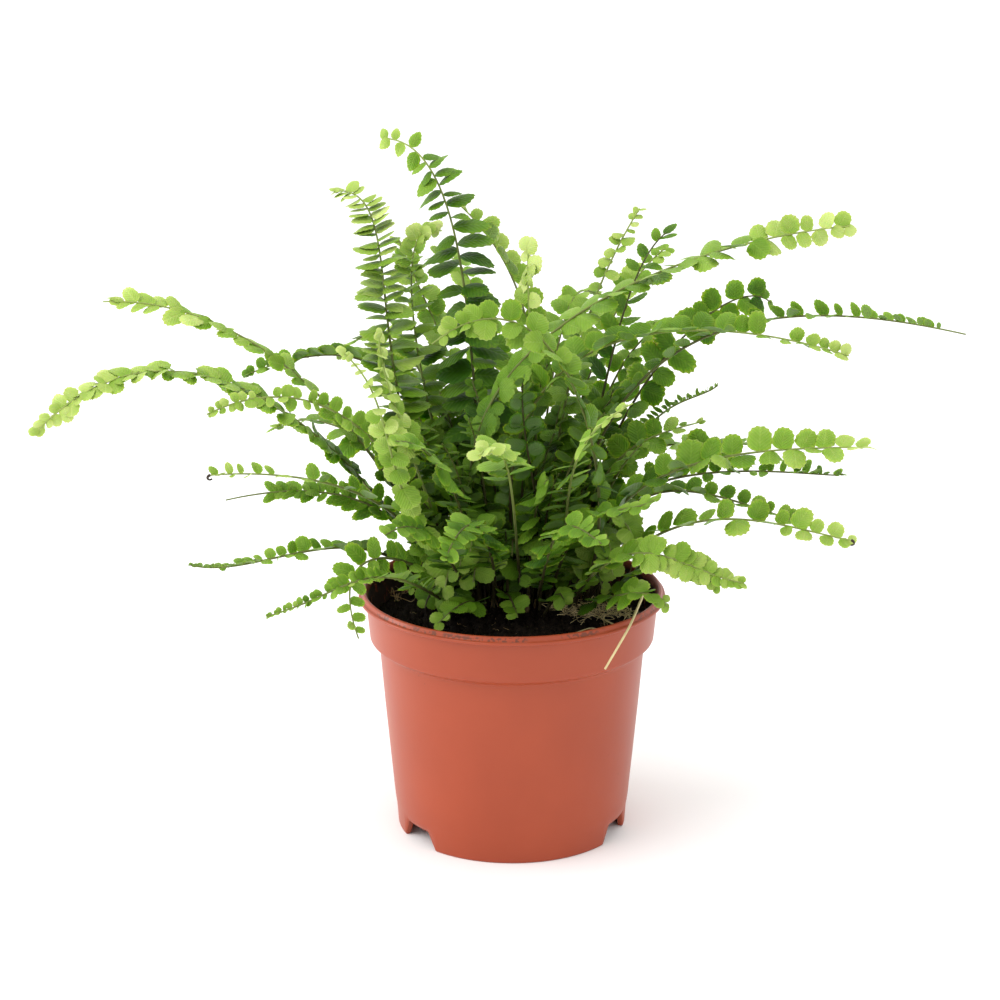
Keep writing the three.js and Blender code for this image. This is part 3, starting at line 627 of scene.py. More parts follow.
# ---- Meshes ----
def linked(name, data):
    """An object at the origin with this mesh, light or camera, in the scene."""
    thing = bpy.data.objects.new(name, data)
    bpy.context.scene.collection.objects.link(thing)
    return thing


def shade(mesh):
    """Smooth faces, but sharp edges stay sharp."""
    mesh.shade_smooth()
    mesh.set_sharp_from_angle(angle=math.radians(SHARP_ANGLE))


class Parts:
    """Gathers surfaces into one mesh."""

    def __init__(self, *keys):
        """Keys name the values that each point has."""
        self.points, self.faces, self.values, self.count = [], [], {k: [] for k in keys}, 0

    def add(self, points, *blocks, **values):
        """Each block is an array of faces that have as many corners, as indices into points. Each value is
        one number or one for each point."""
        points = points.reshape(-1, 3)
        self.points.append(points)
        for block in blocks:
            self.faces += (block.reshape(-1, block.shape[-1]) + self.count).tolist()
        for key, kept in self.values.items():
            kept.append(np.broadcast_to(values.get(key, 0.0), len(points)))
        self.count += len(points)

    def mesh(self, name):
        """One mesh of all the surfaces, in metres, with their values as attributes."""
        mesh = bpy.data.meshes.new(name)
        mesh.from_pydata(np.concatenate(self.points) * MM, [], self.faces)
        for key, kept in self.values.items():
            attribute = mesh.attributes.new(key, "FLOAT", "POINT")
            attribute.data.foreach_set("value", np.concatenate(kept).astype(np.float32))
        return mesh

    def make(self, name, material, node=None):
        """The finished piece, which may replace a node of the part."""
        mesh = self.mesh(name)
        shade(mesh)
        mesh.materials.append(material)
        piece = linked(name, mesh)
        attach(piece, "root")
        if node:
            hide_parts(node)
        return piece


def ring_faces(rings, sides):
    """Faces between neighbouring rings of points."""
    i, j = np.meshgrid(np.arange(rings - 1), np.arange(sides), indexing="ij")
    a, b = i * sides + j, i * sides + (j + 1) % sides
    return np.stack([a, a + sides, b + sides, b], -1).reshape(-1, 4)


def turned_faces(rings, sides):
    """Faces of a turned form, whose points are its upper pole, its rings and its lower pole: four-cornered
    ones between the rings, and three-cornered ones at the poles."""
    here = np.arange(sides) + 1
    after = np.roll(here, -1)
    last = (rings - 1) * sides
    upper = np.stack([0 * here, here, after], -1)
    lower = np.stack([0 * here + last + sides + 1, after + last, here + last], -1)
    return ring_faces(rings, sides) + 1, np.concatenate([upper, lower])


def rising_faces(rings, sides):
    """The same for points that begin at the lower pole, so that each face runs the other way round."""
    quads, fans = turned_faces(rings, sides)
    return quads[..., [0, 3, 2, 1]], fans[:, ::-1]


def tube(path, radius, sides):
    """Rings of points round a path, square to it: the points, the faces round it and the ends' faces."""
    along = unit(np.gradient(path, axis=0))
    least_followed = np.eye(3)[np.argmin(np.abs(along).max(axis=0))]
    across = unit(np.cross(along, least_followed))
    up = np.cross(across, along)
    angle = np.arange(sides) * TURN / sides
    ring = np.cos(angle)[:, None] * across[:, None] + np.sin(angle)[:, None] * up[:, None]
    points = path[:, None] + np.broadcast_to(radius, len(path))[:, None, None] * ring
    ends = np.arange(sides)
    return points, ring_faces(len(path), sides), np.stack([ends, ends[::-1] + (len(path) - 1) * sides])


def smooth_path(points, count):
    """A smooth curve through points: each stretch is a cubic with the slopes between its neighbours."""
    p = np.asarray(points, float)
    p = np.vstack([2 * p[0] - p[1], p, 2 * p[-1] - p[-2]])
    u = np.linspace(0, len(points) - 1 - LEAST, count)
    k, t = u.astype(int), (u % 1)[:, None]
    a, b, c, d = p[k], p[k + 1], p[k + 2], p[k + 3]
    return 0.5 * (2 * b + (c - a) * t + (2 * a - 5 * b + 4 * c - d) * t**2 + (3 * b - a - 3 * c + d) * t**3)


# ---- Leaflets ----
def each_point(middle, ring, rim, lower_ring, lower_middle):
    """A value for each point of a leaflet: its upper middle, the ring round that, the rim, and beneath."""
    rings = [np.broadcast_to(part, RIM_STEPS) for part in (ring, rim, lower_ring)]
    return np.concatenate([[middle], *rings, [lower_middle]])


RIM_ANGLE = np.arange(RIM_STEPS) * TURN / RIM_STEPS
OUT_SHARE = each_point(0, RING_SHARE, 1, RING_SHARE, 0)
ROUND_ANGLE = each_point(0, RIM_ANGLE, RIM_ANGLE, RIM_ANGLE, 0)
FACE_SIDE = each_point(1, 1, 0, -1, -1)
LEAF_FACES = turned_faces(3, RIM_STEPS)


def leaflet_shape(length, look, rng):
    """The points of each leaflet along it, across it and above it. Its rim is a squared-off ellipse, wider
    towards its foot and finely toothed. It droops with the square of the distance from its foot, is cupped
    with the square of the distance from its middle line, and waves round its rim. Its two faces part by a
    lens-shaped thickness."""

    def varied(middle, key):
        """A value for each leaflet, spread round the middle one."""
        return (middle + SPREAD[key] * rng.standard_normal(len(length)))[:, None]

    long = length[:, None]
    cosine, sine = np.cos(RIM_ANGLE), np.sin(RIM_ANGLE)
    tooth = 1 + TOOTH * np.where(np.arange(RIM_STEPS) % 2 == 0, 1, -1) * (cosine < TOOTHLESS)
    rim_x = (0.5 - 0.5 * np.sign(cosine) * np.abs(cosine) ** look["square"] - LEAF_CENTRE) * tooth
    rim_y = 0.5 * np.sign(sine) * np.abs(sine) ** look["square"] * (1 + look["broad"] * cosine) * tooth
    x = long * (LEAF_CENTRE + OUT_SHARE * each_point(0, rim_x, rim_x, rim_x, 0))
    y = long * look["wide"] * varied(1, "wide") * OUT_SHARE * each_point(0, rim_y, rim_y, rim_y, 0)
    z = -(varied(look["droop"], "droop") * x * x + varied(CUPPED, "cup") * y * y) / long
    wave = WAVED * rng.random(len(length))[:, None] * long
    phase = TURN * rng.random(len(length))[:, None]
    z += wave * OUT_SHARE**2 * np.sin(2 * ROUND_ANGLE + phase)
    return x, y, z + FACE_SIDE * LEAF_THICK / 2 * (1 - OUT_SHARE**2)


def leaflet_frame(out, along, up, share, look, rng):
    """Which way each leaflet points and faces: raised off the blade, swept forward, turned to the light."""

    def between(key):
        """A value for each leaflet, from the foot's to the tip's, and spread round that."""
        first, last = np.broadcast_to(look[key], 2)
        return (first + (last - first) * share + SPREAD[key] * rng.standard_normal(len(share)))[:, None]

    folded = np.maximum(-np.sign(out[:, 2:]) * np.sign(look["fold"]), 0) * abs(look["fold"])
    rise = np.radians(between("rise") + folded)
    sweep = np.radians(between("sweep") + TIP_SWEEP * smooth(share, *TIP_SWEPT)[:, None])
    point = unit(out * np.cos(rise) + up * np.sin(rise) + along * np.tan(sweep))
    face = up * np.cos(rise) - out * np.sin(rise)
    first, last = np.broadcast_to(look["light_from"], (2, 3))
    light = first + (last - first) * smooth(share, *TIP_BEGINS)[:, None]
    face = face + between("light") * light + SPREAD["face"] * rng.standard_normal(out.shape)
    face = unit(face - np.sum(face * point, 1, keepdims=True) * point)
    return point, face


def add_stem(parts, frond):
    """A tapered tube along the frond's spine, from inside the soil to its tip."""
    s = np.linspace(0, frond.length, max(STEM_FEWEST, int(frond.length / STEM_STEP)))
    path = frond.at(frond.at_length(s))
    sunk = path[0] - STEM_IN_SOIL * frond.along(np.zeros(1))[0]
    s = np.concatenate([[0], s])
    old, young = frond.look["age"]
    # painted shade: each stem darkens towards its foot
    shaded = STEM_SHADED * (1 - smooth(s, *STEM_SHADED_TO))
    age = np.clip(old + (young - old) * (s / frond.length) ** 2 - shaded, 0, 1)
    surface = tube(np.vstack([sunk, path]), frond.stem_radius(s), STEM_SIDES)
    parts.add(*surface, age=np.repeat(age, STEM_SIDES), stem=1.0)


def leaflet_places(frond, rng):
    """Where leaflets stand, as shares of the leafy stretch, and on which side: left and right in turn,
    spaced by a fixed share of their length. Also that length at each place."""
    look = frond.look
    lost, power = look["taper"]

    def long(v):
        """Their length at shares v."""
        return frond.leaf_length(v) * (1 - lost * v**power)

    v = np.linspace(0, 1, LEAFY_STEPS)
    first, last = np.broadcast_to(look["crowd"], 2)
    spacing = (first + (last - first) * smooth(v[1:], *TIP_BEGINS)) * long(v[1:])
    passed = np.concatenate([[0], np.cumsum(np.diff(v) * (frond.length - frond.bare) / spacing)])
    order = np.arange(int(2 * passed[-1]))
    v = np.interp(order + 0.5 + SPREAD["place"] * rng.standard_normal(len(order)), 2 * passed, v)
    first, last = look["leaves"]
    kept = (v >= first) & (v <= last) & (rng.random(len(order)) > look["lost"])
    return v[kept], np.where(order % 2 == 0, 1.0, -1.0)[kept], long(v[kept])


def add_leaflets(parts, frond, rng):
    """All leaflets of a frond, each on its short stalk."""
    look = frond.look
    v, side, length = leaflet_places(frond, rng)
    s = frond.bare + v * (frond.length - frond.bare)
    t = frond.at_length(s)
    weave = look["weave"] * np.sin(TURN * (rng.uniform(*WEAVES) * v + rng.random()))
    roll_on = look["tilt"] + look["roll_on"] * smooth(v, *look["turning"]) + weave
    along, across, up = frond.blade(t, np.radians(roll_on))
    out = across * side[:, None]
    foot = frond.at(t) + (out + up) * (STALK * frond.stem_radius(s))[:, None]
    length = length * np.clip(1 + SPREAD["long"] * rng.standard_normal(len(s)), *LENGTH_RANGE)
    x, y, z = leaflet_shape(length, look, rng)
    point, face = leaflet_frame(out, along, up, v, look, rng)
    cross = -side[:, None] * np.cross(face, point)
    axes = [(x, point), (y, cross), (z, face)]
    points = foot[:, None] + sum(size[..., None] * axis[:, None] for size, axis in axes)
    old, young = look["age"]
    # painted shade: leaflets near the clump's heart are made darker green by lowering their age
    heart_shade = HEART_SHADE * (1 - smooth(np.linalg.norm(foot - HEART, axis=1), *HEART_REACH))
    age = old + (young - old) * v ** look["ripens"] - heart_shade + SPREAD["age"] * rng.standard_normal(len(s))
    per = points.shape[1]
    values = dict(
        age=np.repeat(np.clip(age, 0, 1), per),
        tone=np.repeat(rng.random(len(s)), per),
        under=np.tile(FACE_SIDE < 0, len(s)),
        lengthways=(x / length[:, None]).ravel(),
        crossways=(2 * y / length[:, None]).ravel(),
    )
    first = (np.arange(len(s)) * per)[:, None, None]
    mirrored = side < 0
    blocks = []
    for faces in LEAF_FACES:
        blocks += [faces[:, ::-1] + first[mirrored], faces + first[~mirrored]]
    parts.add(points, *blocks, **values)


def leafy_piece(name, fronds, rng, material, node=None):
    """A piece with the stems and leaflets of fronds, which come one at a time and may draw from rng too."""
    parts = Parts(*LEAF_VALUES)
    for frond in fronds:
        add_stem(parts, frond)
        add_leaflets(parts, frond, rng)
    parts.make(name, material, node)


def crown(rng):
    """Short young fronds between the long ones, which fill the clump's heart. They lean outwards, more so
    further out, and their tips nod."""
    for _ in range(CROWN_COUNT):
        outwards = flat_direction(TURN * rng.random())
        reach = np.sqrt(rng.random())
        root = CROWN_MIDDLE + CROWN_REACH * reach * outwards
        tall = rng.uniform(*CROWN_HEIGHT)
        lean = rng.uniform(*CROWN_LEAN) * tall * (CROWN_MIDDLE_LEAN + reach) * outwards
        base = soil_height(*root)
        rows = [(*(root + lean * v**2), base + tall * (v - CROWN_NOD * v**3)) for v in (*THIRDS, 1)]
        frond = Frond("crown", root, *rows, rng.uniform(*CROWN_ROLL), rng.uniform(*CROWN_LEAFLET))
        age = rng.uniform(*CROWN_AGE)
        frond.look = dict(PLAIN, age=(age, age + CROWN_AGES_BY), light=CROWN_LIGHT)
        frond.measure()
        yield frond


def shoots(rng):
    """Young shoots round the clump's foot, which bulge up and bend over to their tips."""
    for root, tip, leaflet, age in SHOOTS:
        foot = np.array([*root, soil_height(*root)])
        rise = tip[2] - foot[2] + SHOOT_BULGE * math.dist(root, tip[:2])
        rows = [foot + (np.array(tip) - foot) * share for share in THIRDS]
        for row, share in zip(rows, SHOOT_RISES):
            row[2] = foot[2] + rise * share
        frond = Frond("shoot", root, *rows, tip, rng.uniform(*SHOOT_ROLL), leaflet)
        frond.look = dict(PLAIN, age=(age + SHOOT_AGES[0], age + SHOOT_AGES[1]), **SHOOT_LOOK)
        frond.measure()
        frond.bare = min(frond.bare, frond.length * SHOOT_BARE)
        yield frond


# ---- Materials ----
def both_ways(operation):
    """A maths node for socket with value, and for value with socket."""
    return (
        lambda socket, value: socket.maths(operation, socket, value),
        lambda socket, value: socket.maths(operation, value, socket),
    )


class Socket:
    """A node's output, with the maths that shaders here use."""

    def __init__(self, shader, link):
        """The shader that it is in, and what other nodes link to."""
        self.shader, self.link = shader, link

    def maths(self, operation, *values):
        """A maths node on these values."""
        return self.shader.node("ShaderNodeMath", {"operation": operation}, dict(enumerate(values)))

    __add__, __radd__ = both_ways("ADD")
    __sub__, __rsub__ = both_ways("SUBTRACT")
    __mul__, __rmul__ = both_ways("MULTIPLY")

    def __abs__(self):
        """How far its value is from 0."""
        return self.maths("ABSOLUTE", self)

    def sine(self):
        """The sine of its value in radians."""
        return self.maths("SINE", self)

    def ramp(self, low, high):
        """0 at low, 1 at high, and smooth between."""
        inputs = {"Value": self, "From Min": low, "From Max": high}
        return self.shader.node("ShaderNodeMapRange", {"interpolation_type": "SMOOTHSTEP"}, inputs)


class Shader:
    """A material's node tree, made by plain calls."""

    def __init__(self, name, **surface):
        """Surface gives the constant values of the material's sockets."""
        self.material = bpy.data.materials.new(name)
        self.material.use_nodes = True
        self.tree = self.material.node_tree
        self.surface = self.tree.nodes["Principled BSDF"]
        for key, value in surface.items():
            self.surface.inputs[key.replace("_", " ")].default_value = value

    def node(self, kind, settings=None, inputs=None, output=0):
        """Any node: its settings first, then the values or links of its sockets."""
        node = self.tree.nodes.new(kind)
        for key, value in (settings or {}).items():
            setattr(node, key, value)
        for key, value in (inputs or {}).items():
            if isinstance(value, Socket):
                self.tree.links.new(value.link, node.inputs[key])
            else:
                node.inputs[key].default_value = value
        return Socket(self, node.outputs[output])

    def value(self, name):
        """A mesh's attribute of this name."""
        return self.node("ShaderNodeAttribute", {"attribute_name": name}, output="Fac")

    def place(self):
        """The point on the object, in its own coordinates."""
        return self.node("ShaderNodeTexCoord", output="Object")

    def noise(self, scale, detail=3.0, rough=0.5):
        """Soft noise with lumps of about 1/scale millimetres."""
        sizes = {"Vector": self.place(), "Scale": scale / MM, "Detail": detail, "Roughness": rough}
        return self.node("ShaderNodeTexNoise", inputs=sizes, output="Fac")

    def mix(self, share, a, b):
        """Colours a and b mixed by a share."""
        return self.node("ShaderNodeMix", {"data_type": "RGBA"}, {0: share, 6: a, 7: b}, output=2)

    def colours(self, share, stops):
        """The colour at a share: each stop is a share and its colour, and between stops they blend."""
        colour = self.node("ShaderNodeValToRGB", inputs={"Fac": share}, output="Color")
        ramp = colour.link.node.color_ramp
        for k, (place, rgb) in enumerate(stops):
            stop = ramp.elements[k] if k < 2 else ramp.elements.new(place)
            stop.position, stop.color = place, (*rgb, 1)
        return colour

    def bump(self, height, distance, strength=1.0):
        """A normal from a height in units of the distance, in millimetres."""
        sizes = {"Height": height, "Distance": distance * MM, "Strength": strength}
        return self.node("ShaderNodeBump", inputs=sizes, output="Normal")

    def paint(self, **links):
        """Feeds the surface's sockets, and gives the finished material."""
        for key, value in links.items():
            self.tree.links.new(value.link, self.surface.inputs[key.replace("_", " ")])
        return self.material


LEAF_SURFACE = dict(
    Roughness=0.45,
    Specular_IOR_Level=0.12,
    Subsurface_Weight=0.25,
    Subsurface_Scale=0.5 * MM,
    Subsurface_Radius=(0.6, 1.0, 0.15),
)
LEAF_COLOURS = [
    # age, colour
    (0.0, (0.021, 0.066, 0.002)),
    (0.3, (0.090, 0.189, 0.010)),
    (0.6, (0.192, 0.318, 0.036)),
    (0.85, (0.335, 0.445, 0.095)),
    (1.0, (0.475, 0.570, 0.180)),
]
STEM_COLOURS = [(0.0, (0.045, 0.04, 0.016)), (0.35, (0.15, 0.18, 0.05)), (1.0, (0.36, 0.46, 0.12))]
UNDERSIDE = (0.19, 0.28, 0.11, 1)
SIDE_VEINS = 44.0  # radians of a wave along a leaflet's length
VEIN_SLANT = 0.45
MIDDLE_VEIN = (0.02, 0.10)
AGE_VARIES = 0.24  # from leaflet to leaflet, and within one
POT_COLOURS = [(0.3, (0.315, 0.047, 0.0135)), (0.7, (0.35, 0.054, 0.016))]
SPECK_CELLS = 0.09 / MM
SPECK_SIZE = (0.03, 0.06)
SPECK_COLOUR = (0.10, 0.03, 0.015, 1)
GROOVE_DIRT = (0.07, 0.026, 0.014, 1)
INSIDE_SHADE_AND_SOIL = (0.008, 0.005, 0.004, 1)
SOIL_COLOURS = [(0.35, (0.003, 0.002, 0.0015)), (0.6, (0.012, 0.008, 0.005)), (0.8, (0.06, 0.038, 0.022))]
STRAW_COLOURS = [(0.0, (0.03, 0.018, 0.008)), (0.5, (0.20, 0.13, 0.045)), (1.0, (0.74, 0.62, 0.32))]


def leaf_material():
    """Leaflets from deep green to yellow-green with age, greyer beneath, with a paler middle vein and side
    veins that slant forward. Stems run from brown to pale green."""
    sh = Shader("frond_green", **LEAF_SURFACE)
    lengthways = sh.value("lengthways")
    off_middle = abs(sh.value("crossways"))
    side_vein = ((lengthways - VEIN_SLANT * off_middle) * SIDE_VEINS).sine()
    middle_vein = 1.0 - off_middle.ramp(*MIDDLE_VEIN)
    age = sh.value("age") + AGE_VARIES * (sh.value("tone") - 0.5) + AGE_VARIES * (sh.noise(0.25) - 0.5)
    age = age + 0.05 * middle_vein + 0.02 * side_vein + 0.16 * (lengthways - 0.4)
    top = sh.colours(age, LEAF_COLOURS)
    leaf = sh.mix(sh.value("under").ramp(0.1, 0.7), top, sh.mix(0.4, top, UNDERSIDE))
    colour = sh.mix(sh.value("stem"), leaf, sh.colours(age, STEM_COLOURS))
    relief = 0.5 * side_vein - middle_vein + 1.2 * sh.noise(0.5)
    return sh.paint(Base_Color=colour, Normal=sh.bump(relief, 0.12, 0.7))


def pot_material():
    """Satin terracotta-coloured plastic with faint clouds, a few specks, dirt in the lip's groove, and an
    inside wall made nearly black, by painted shade together with soil that clings to it."""
    sh = Shader("pot_plastic", Specular_IOR_Level=0.4)
    colour = sh.colours(sh.noise(0.03), POT_COLOURS)
    cell = {"Vector": sh.place(), "Scale": SPECK_CELLS}
    middle = sh.node("ShaderNodeTexVoronoi", {"feature": "F1"}, cell, output="Distance")
    speck = (1.0 - middle.ramp(*SPECK_SIZE)) * sh.noise(0.05, 1).ramp(0.48, 0.55)
    groove = sh.value("groove") * sh.noise(0.7, 2).ramp(0.48, 0.56) * sh.noise(0.06, 1).ramp(0.42, 0.5)
    # painted shade together with clinging soil: the inside of the wall is made nearly black
    inside = sh.value("inside") * sh.noise(0.25, 4).ramp(0.2, 0.45)
    colour = sh.mix(0.8 * speck, colour, SPECK_COLOUR)
    colour = sh.mix(0.7 * groove, colour, GROOVE_DIRT)
    colour = sh.mix(0.95 * inside, colour, INSIDE_SHADE_AND_SOIL)
    relief = sh.bump(sh.noise(0.9), 0.02, 0.5)
    return sh.paint(Base_Color=colour, Roughness=0.38 + 0.5 * inside, Normal=relief)


def soil_material():
    """Dark damp soil with a few paler crumbs."""
    sh = Shader("soil_dark", Roughness=0.95, Specular_IOR_Level=0.1)
    colour = sh.colours(sh.noise(0.6, 5, rough=0.7), SOIL_COLOURS)
    return sh.paint(Base_Color=colour, Normal=sh.bump(sh.noise(1.2, 4), 0.5))


def straw_material():
    """Dry stalks and roots, from brown to pale straw."""
    sh = Shader("straw", Roughness=0.7)
    pale = sh.value("pale") + 0.3 * (sh.noise(0.2) - 0.5)
    return sh.paint(Base_Color=sh.colours(pale, STRAW_COLOURS))


# ---- Pot ----
def notch_top(angle):
    """The height of the pot's lower edge: 0 on the feet, and the notch's outline where one is cut, which
    rises along a slope to a level top."""
    span = TURN / NOTCHES
    off = (angle - math.radians(NOTCH_TURN) + span / 2) % span - span / 2
    slope = (NOTCH_FOOT_WIDTH - NOTCH_TOP_WIDTH) / 2 / (NOTCH_HEIGHT - NOTCH_CORNER)
    return np.clip((NOTCH_FOOT_WIDTH / 2 - np.abs(off) * FOOT_RADIUS) / slope, 0, NOTCH_HEIGHT)


def pot_angles():
    """Turning angles, with more of them where a notch's side rises."""
    even = np.arange(POT_TURNS) * TURN / POT_TURNS
    middles = math.radians(NOTCH_TURN) + np.arange(NOTCHES) * TURN / NOTCHES
    inner, outer = NOTCH_TOP_WIDTH / 2 - NOTCH_SIDE_MORE[0], NOTCH_FOOT_WIDTH / 2 + NOTCH_SIDE_MORE[1]
    sides = np.linspace(inner, outer, NOTCH_SIDE_STEPS) / FOOT_RADIUS
    extra = (middles[:, None, None] + sides[None, :, None] * np.array([-1, 1])).ravel() % TURN
    return np.unique(np.round(np.concatenate([even, extra]), 6))


def drill(pot):
    """Round drain holes through the pot's floor, where upright pins are taken away."""
    pins = Parts()
    ends = np.array([FLOOR_Z - DRAIN_CLEAR, FLOOR_Z + WALL + DRAIN_CLEAR])
    for turn in np.arange(DRAIN_HOLES) * TURN / DRAIN_HOLES:
        x, y = DRAIN_CIRCLE * flat_direction(turn)
        pins.add(*tube(np.column_stack([[x, x], [y, y], ends]), DRAIN_RADIUS, DRAIN_SIDES))
    cutter = linked("drain_pins", pins.mesh("drain_pins"))
    boolean = pot.modifiers.new("drain_holes", "BOOLEAN")
    boolean.operation, boolean.solver, boolean.object = "DIFFERENCE", "EXACT", cutter
    evaluated = pot.evaluated_get(bpy.context.evaluated_depsgraph_get())
    pot.data = bpy.data.meshes.new_from_object(evaluated)
    pot.modifiers.clear()
    bpy.data.objects.remove(cutter)
    shade(pot.data)


def pot_outline():
    """Radius and height from the middle of the floor's underside outwards, up the outside, over the lip and
    down the inside to the middle of the floor."""
    foot, body, collar, rim = FOOT_RADIUS, BODY_FOOT_RADIUS, COLLAR_TOP_RADIUS, RIM_RADIUS
    inside, floor, lip_top = body - WALL, FLOOR_Z + WALL, LIP_FOOT_Z + LIP_EDGE
    corners = [
        # radius, height, and the points near it, as steps out and up from there
        (inside, FLOOR_Z, [(-inside, 0), (-1.2, 0), (-0.5, -0.4)]),
        (foot - WALL, 0, [(-0.9, 0.4), (-0.5, 0)]),
        (foot, 0, [(-0.5, 0), (-0.1, 0.35), (0.1, 0.9)]),
        (body, 0, [(-0.35, 8.6), (-0.05, 10.2), (0.25, 12.5), (1.9, 30), (3.75, 50)]),
        (BODY_TOP_RADIUS, SHOULDER_FOOT_Z, [(-0.1, -1.5), (0, -0.4), (0.3, 0.15), (0.8, 0.55)]),
        (COLLAR_FOOT_RADIUS, COLLAR_FOOT_Z, [(-0.7, -0.45), (-0.2, -0.1), (0, 0.3), (0.1, 1.2)]),
        (collar, LIP_FOOT_Z, [(-0.12, -1), (0.05, -0.2), (0.4, 0.05)]),
        (rim, LIP_FOOT_Z, [(-0.5, 0.05), (-0.08, 0.35), (0, 0.75)]),
        (rim, lip_top, [(-0.15, -0.15), (-0.5, 0), (-0.95, 0.1), (-1.15, 0.5)]),
        (RIDGE[1], POT_HEIGHT, [(0.15, -0.45), (-0.1, -0.1), (-0.45, 0)]),
        (RIDGE[0], POT_HEIGHT, [(0.35, 0), (0.05, -0.25)]),
        (collar - WALL, LIP_FOOT_Z, [(0.3, 0.9), (0, 0)]),
        (COLLAR_FOOT_RADIUS - WALL, COLLAR_FOOT_Z + SLOPED_WALL, [(0, 0)]),
        (BODY_TOP_RADIUS - WALL, SHOULDER_FOOT_Z + SLOPED_WALL, [(0, 0)]),
        (inside, floor, [(0, 0.6), (-0.6, 0), (-inside, 0)]),
    ]
    return np.array([(radius + out, z + up) for radius, z, steps in corners for out, up in steps])


def pot_piece(material):
    """An outline turned about the Z axis. Its lowest rows rise to the notches' outline."""
    angle = pot_angles()
    radius, height = pot_outline().T[..., None]
    lifted = (height < FOOT_EDGE_Z) * (1 - height / FLOOR_Z) * notch_top(angle)
    grid = np.stack([radius * np.cos(angle), radius * np.sin(angle), height + lifted], -1)
    points = np.concatenate([grid[0, :1], grid[1:-1].reshape(-1, 3), grid[-1, :1]])
    count = len(grid)
    row = np.concatenate([[0], np.repeat(np.arange(1, count - 1), len(angle)), [count - 1]])
    parts = Parts("inside", "groove")
    faces = rising_faces(count - 2, len(angle))
    parts.add(points, *faces, inside=smooth(row, *INSIDE_ROWS), groove=np.isin(row, GROOVE_ROWS))
    drill(parts.make("pot_plastic_shell", material, "pot"))


# ---- Soil ----
def soil_piece(material):
    """A rough mound: a polar grid raised by sums of waves, with a wall down to the pot's floor."""
    rng = np.random.default_rng(SOIL_SEED)
    inset = WALL + SOIL_GAP
    floor = FLOOR_Z + inset
    around = flat_direction(np.arange(SOIL_TURNS) * TURN / SOIL_TURNS)[:, None]
    radius = COLLAR_FOOT_RADIUS - inset
    x, y = radius * np.linspace(0, 1, SOIL_RINGS)[:, None] * around
    z = soil_height(x, y)
    for scale, height in SOIL_WAVES:
        for _ in range(WAVE_DIRECTIONS):
            across = flat_direction(rng.random() * TURN)
            z += height * np.sin((x * across[0] + y * across[1]) * TURN / scale + rng.random() * TURN)
    mound = np.stack([x, y, z], -1)
    wall = np.array([
        (radius, COLLAR_FOOT_Z + 2.5),
        (BODY_TOP_RADIUS - inset - 0.4, SHOULDER_FOOT_Z + 0.6),
        (BODY_FOOT_RADIUS - inset - 0.6, floor),
    ])
    x, y = wall[:, :1] * around
    wall = np.stack([x, y, np.broadcast_to(wall[:, 1:], x.shape)], -1)
    rings = np.concatenate([mound[1:], wall])
    points = np.concatenate([mound[0, :1], rings.reshape(-1, 3), [[0, 0, floor]]])
    parts = Parts()
    parts.add(points, *turned_faces(len(rings), SOIL_TURNS))
    parts.make("soil_mound", material, "soil")


# ---- What lies on the soil ----
def on_soil(middle, reach, rng):
    """A place drawn evenly from an ellipse, drawn again until it is on the soil."""
    while True:
        turn, out = TURN * rng.random(), np.sqrt(rng.random())
        place = np.array(middle) + np.array(reach) * out * flat_direction(turn)
        if math.hypot(*place) < COLLAR_FOOT_RADIUS - EDGE_CLEAR:
            return place


def add_fibres(parts, rng):
    """Fine roots, straws and dead stems: thin tubes along wandering curves."""
    for number, middle, reach, length, height, radius, pale in FIBRES:
        for _ in range(number):
            turn = TURN * rng.random() + np.cumsum(rng.normal(0, FIBRE_TURN, FIBRE_BENDS))
            walk = np.cumsum(rng.uniform(*length) / FIBRE_BENDS * flat_direction(turn), 1).T
            flat = on_soil(middle, reach, rng) + walk - walk.mean(0)
            flat *= np.minimum(1, (COLLAR_FOOT_RADIUS - FIBRE_EDGE_CLEAR) / np.hypot(*flat.T))[:, None]
            over = soil_height(*flat.T) + rng.uniform(*height, FIBRE_BENDS)
            path = smooth_path(np.column_stack([flat, over]), FIBRE_STEPS)
            thick = rng.uniform(*radius) * np.linspace(1, FIBRE_TAPER, FIBRE_STEPS)
            parts.add(*tube(path, thick, FIBRE_SIDES), pale=rng.uniform(*pale))


def add_stubs(parts, rng):
    """The feet of old stems: short straight stubs."""
    number, middle, reach, height, radius, pale = STUBS
    for _ in range(number):
        foot = np.array([*on_soil(middle, reach, rng), 0])
        foot[2] = soil_height(*foot[:2]) - STUB_SUNK
        lean = np.array([*rng.normal(0, STUB_LEAN, 2), STUB_SUNK + rng.uniform(*height)])
        thick = rng.uniform(*radius) * np.linspace(1, STUB_TAPER, STUB_STEPS)
        path = foot + lean * np.linspace(0, 1, STUB_STEPS)[:, None]
        parts.add(*tube(path, thick, STEM_SIDES), pale=rng.uniform(*pale))


def add_curl(parts, frond):
    """The black dried curl in which a frond ends: an arc that runs on from its tip, down and back."""
    turn = np.linspace(0, CURL_TURN, CURL_STEPS)
    out = np.array([*flat_direction(frond.heading), 0])
    on, down = CURL_SIZE[0] * np.sin(turn)[:, None], CURL_SIZE[1] * (1 - np.cos(turn))[:, None]
    curl = frond.points[3] + on * out - down * np.array([0, 0, 1])
    parts.add(*tube(curl, CURL_RADIUS * (CURL_TAPER[0] - turn * CURL_TAPER[1]), STEM_SIDES), pale=CURL_PALE)


def fibres_piece(material, fronds):
    """All that is dry and thin on the soil, a thin dead stalk that stands in it, and two dried tips."""
    rng = np.random.default_rng(FIBRE_SEED)
    parts = Parts("pale")
    add_fibres(parts, rng)
    add_stubs(parts, rng)
    parts.add(*tube(smooth_path(THIN_STALK, THIN_STEPS), THIN_RADIUS, STEM_SIDES), pale=THIN_PALE)
    for frond in fronds:
        if frond.name in DRIED_TIPS:
            add_curl(parts, frond)
    parts.make("roots_and_straws", material)


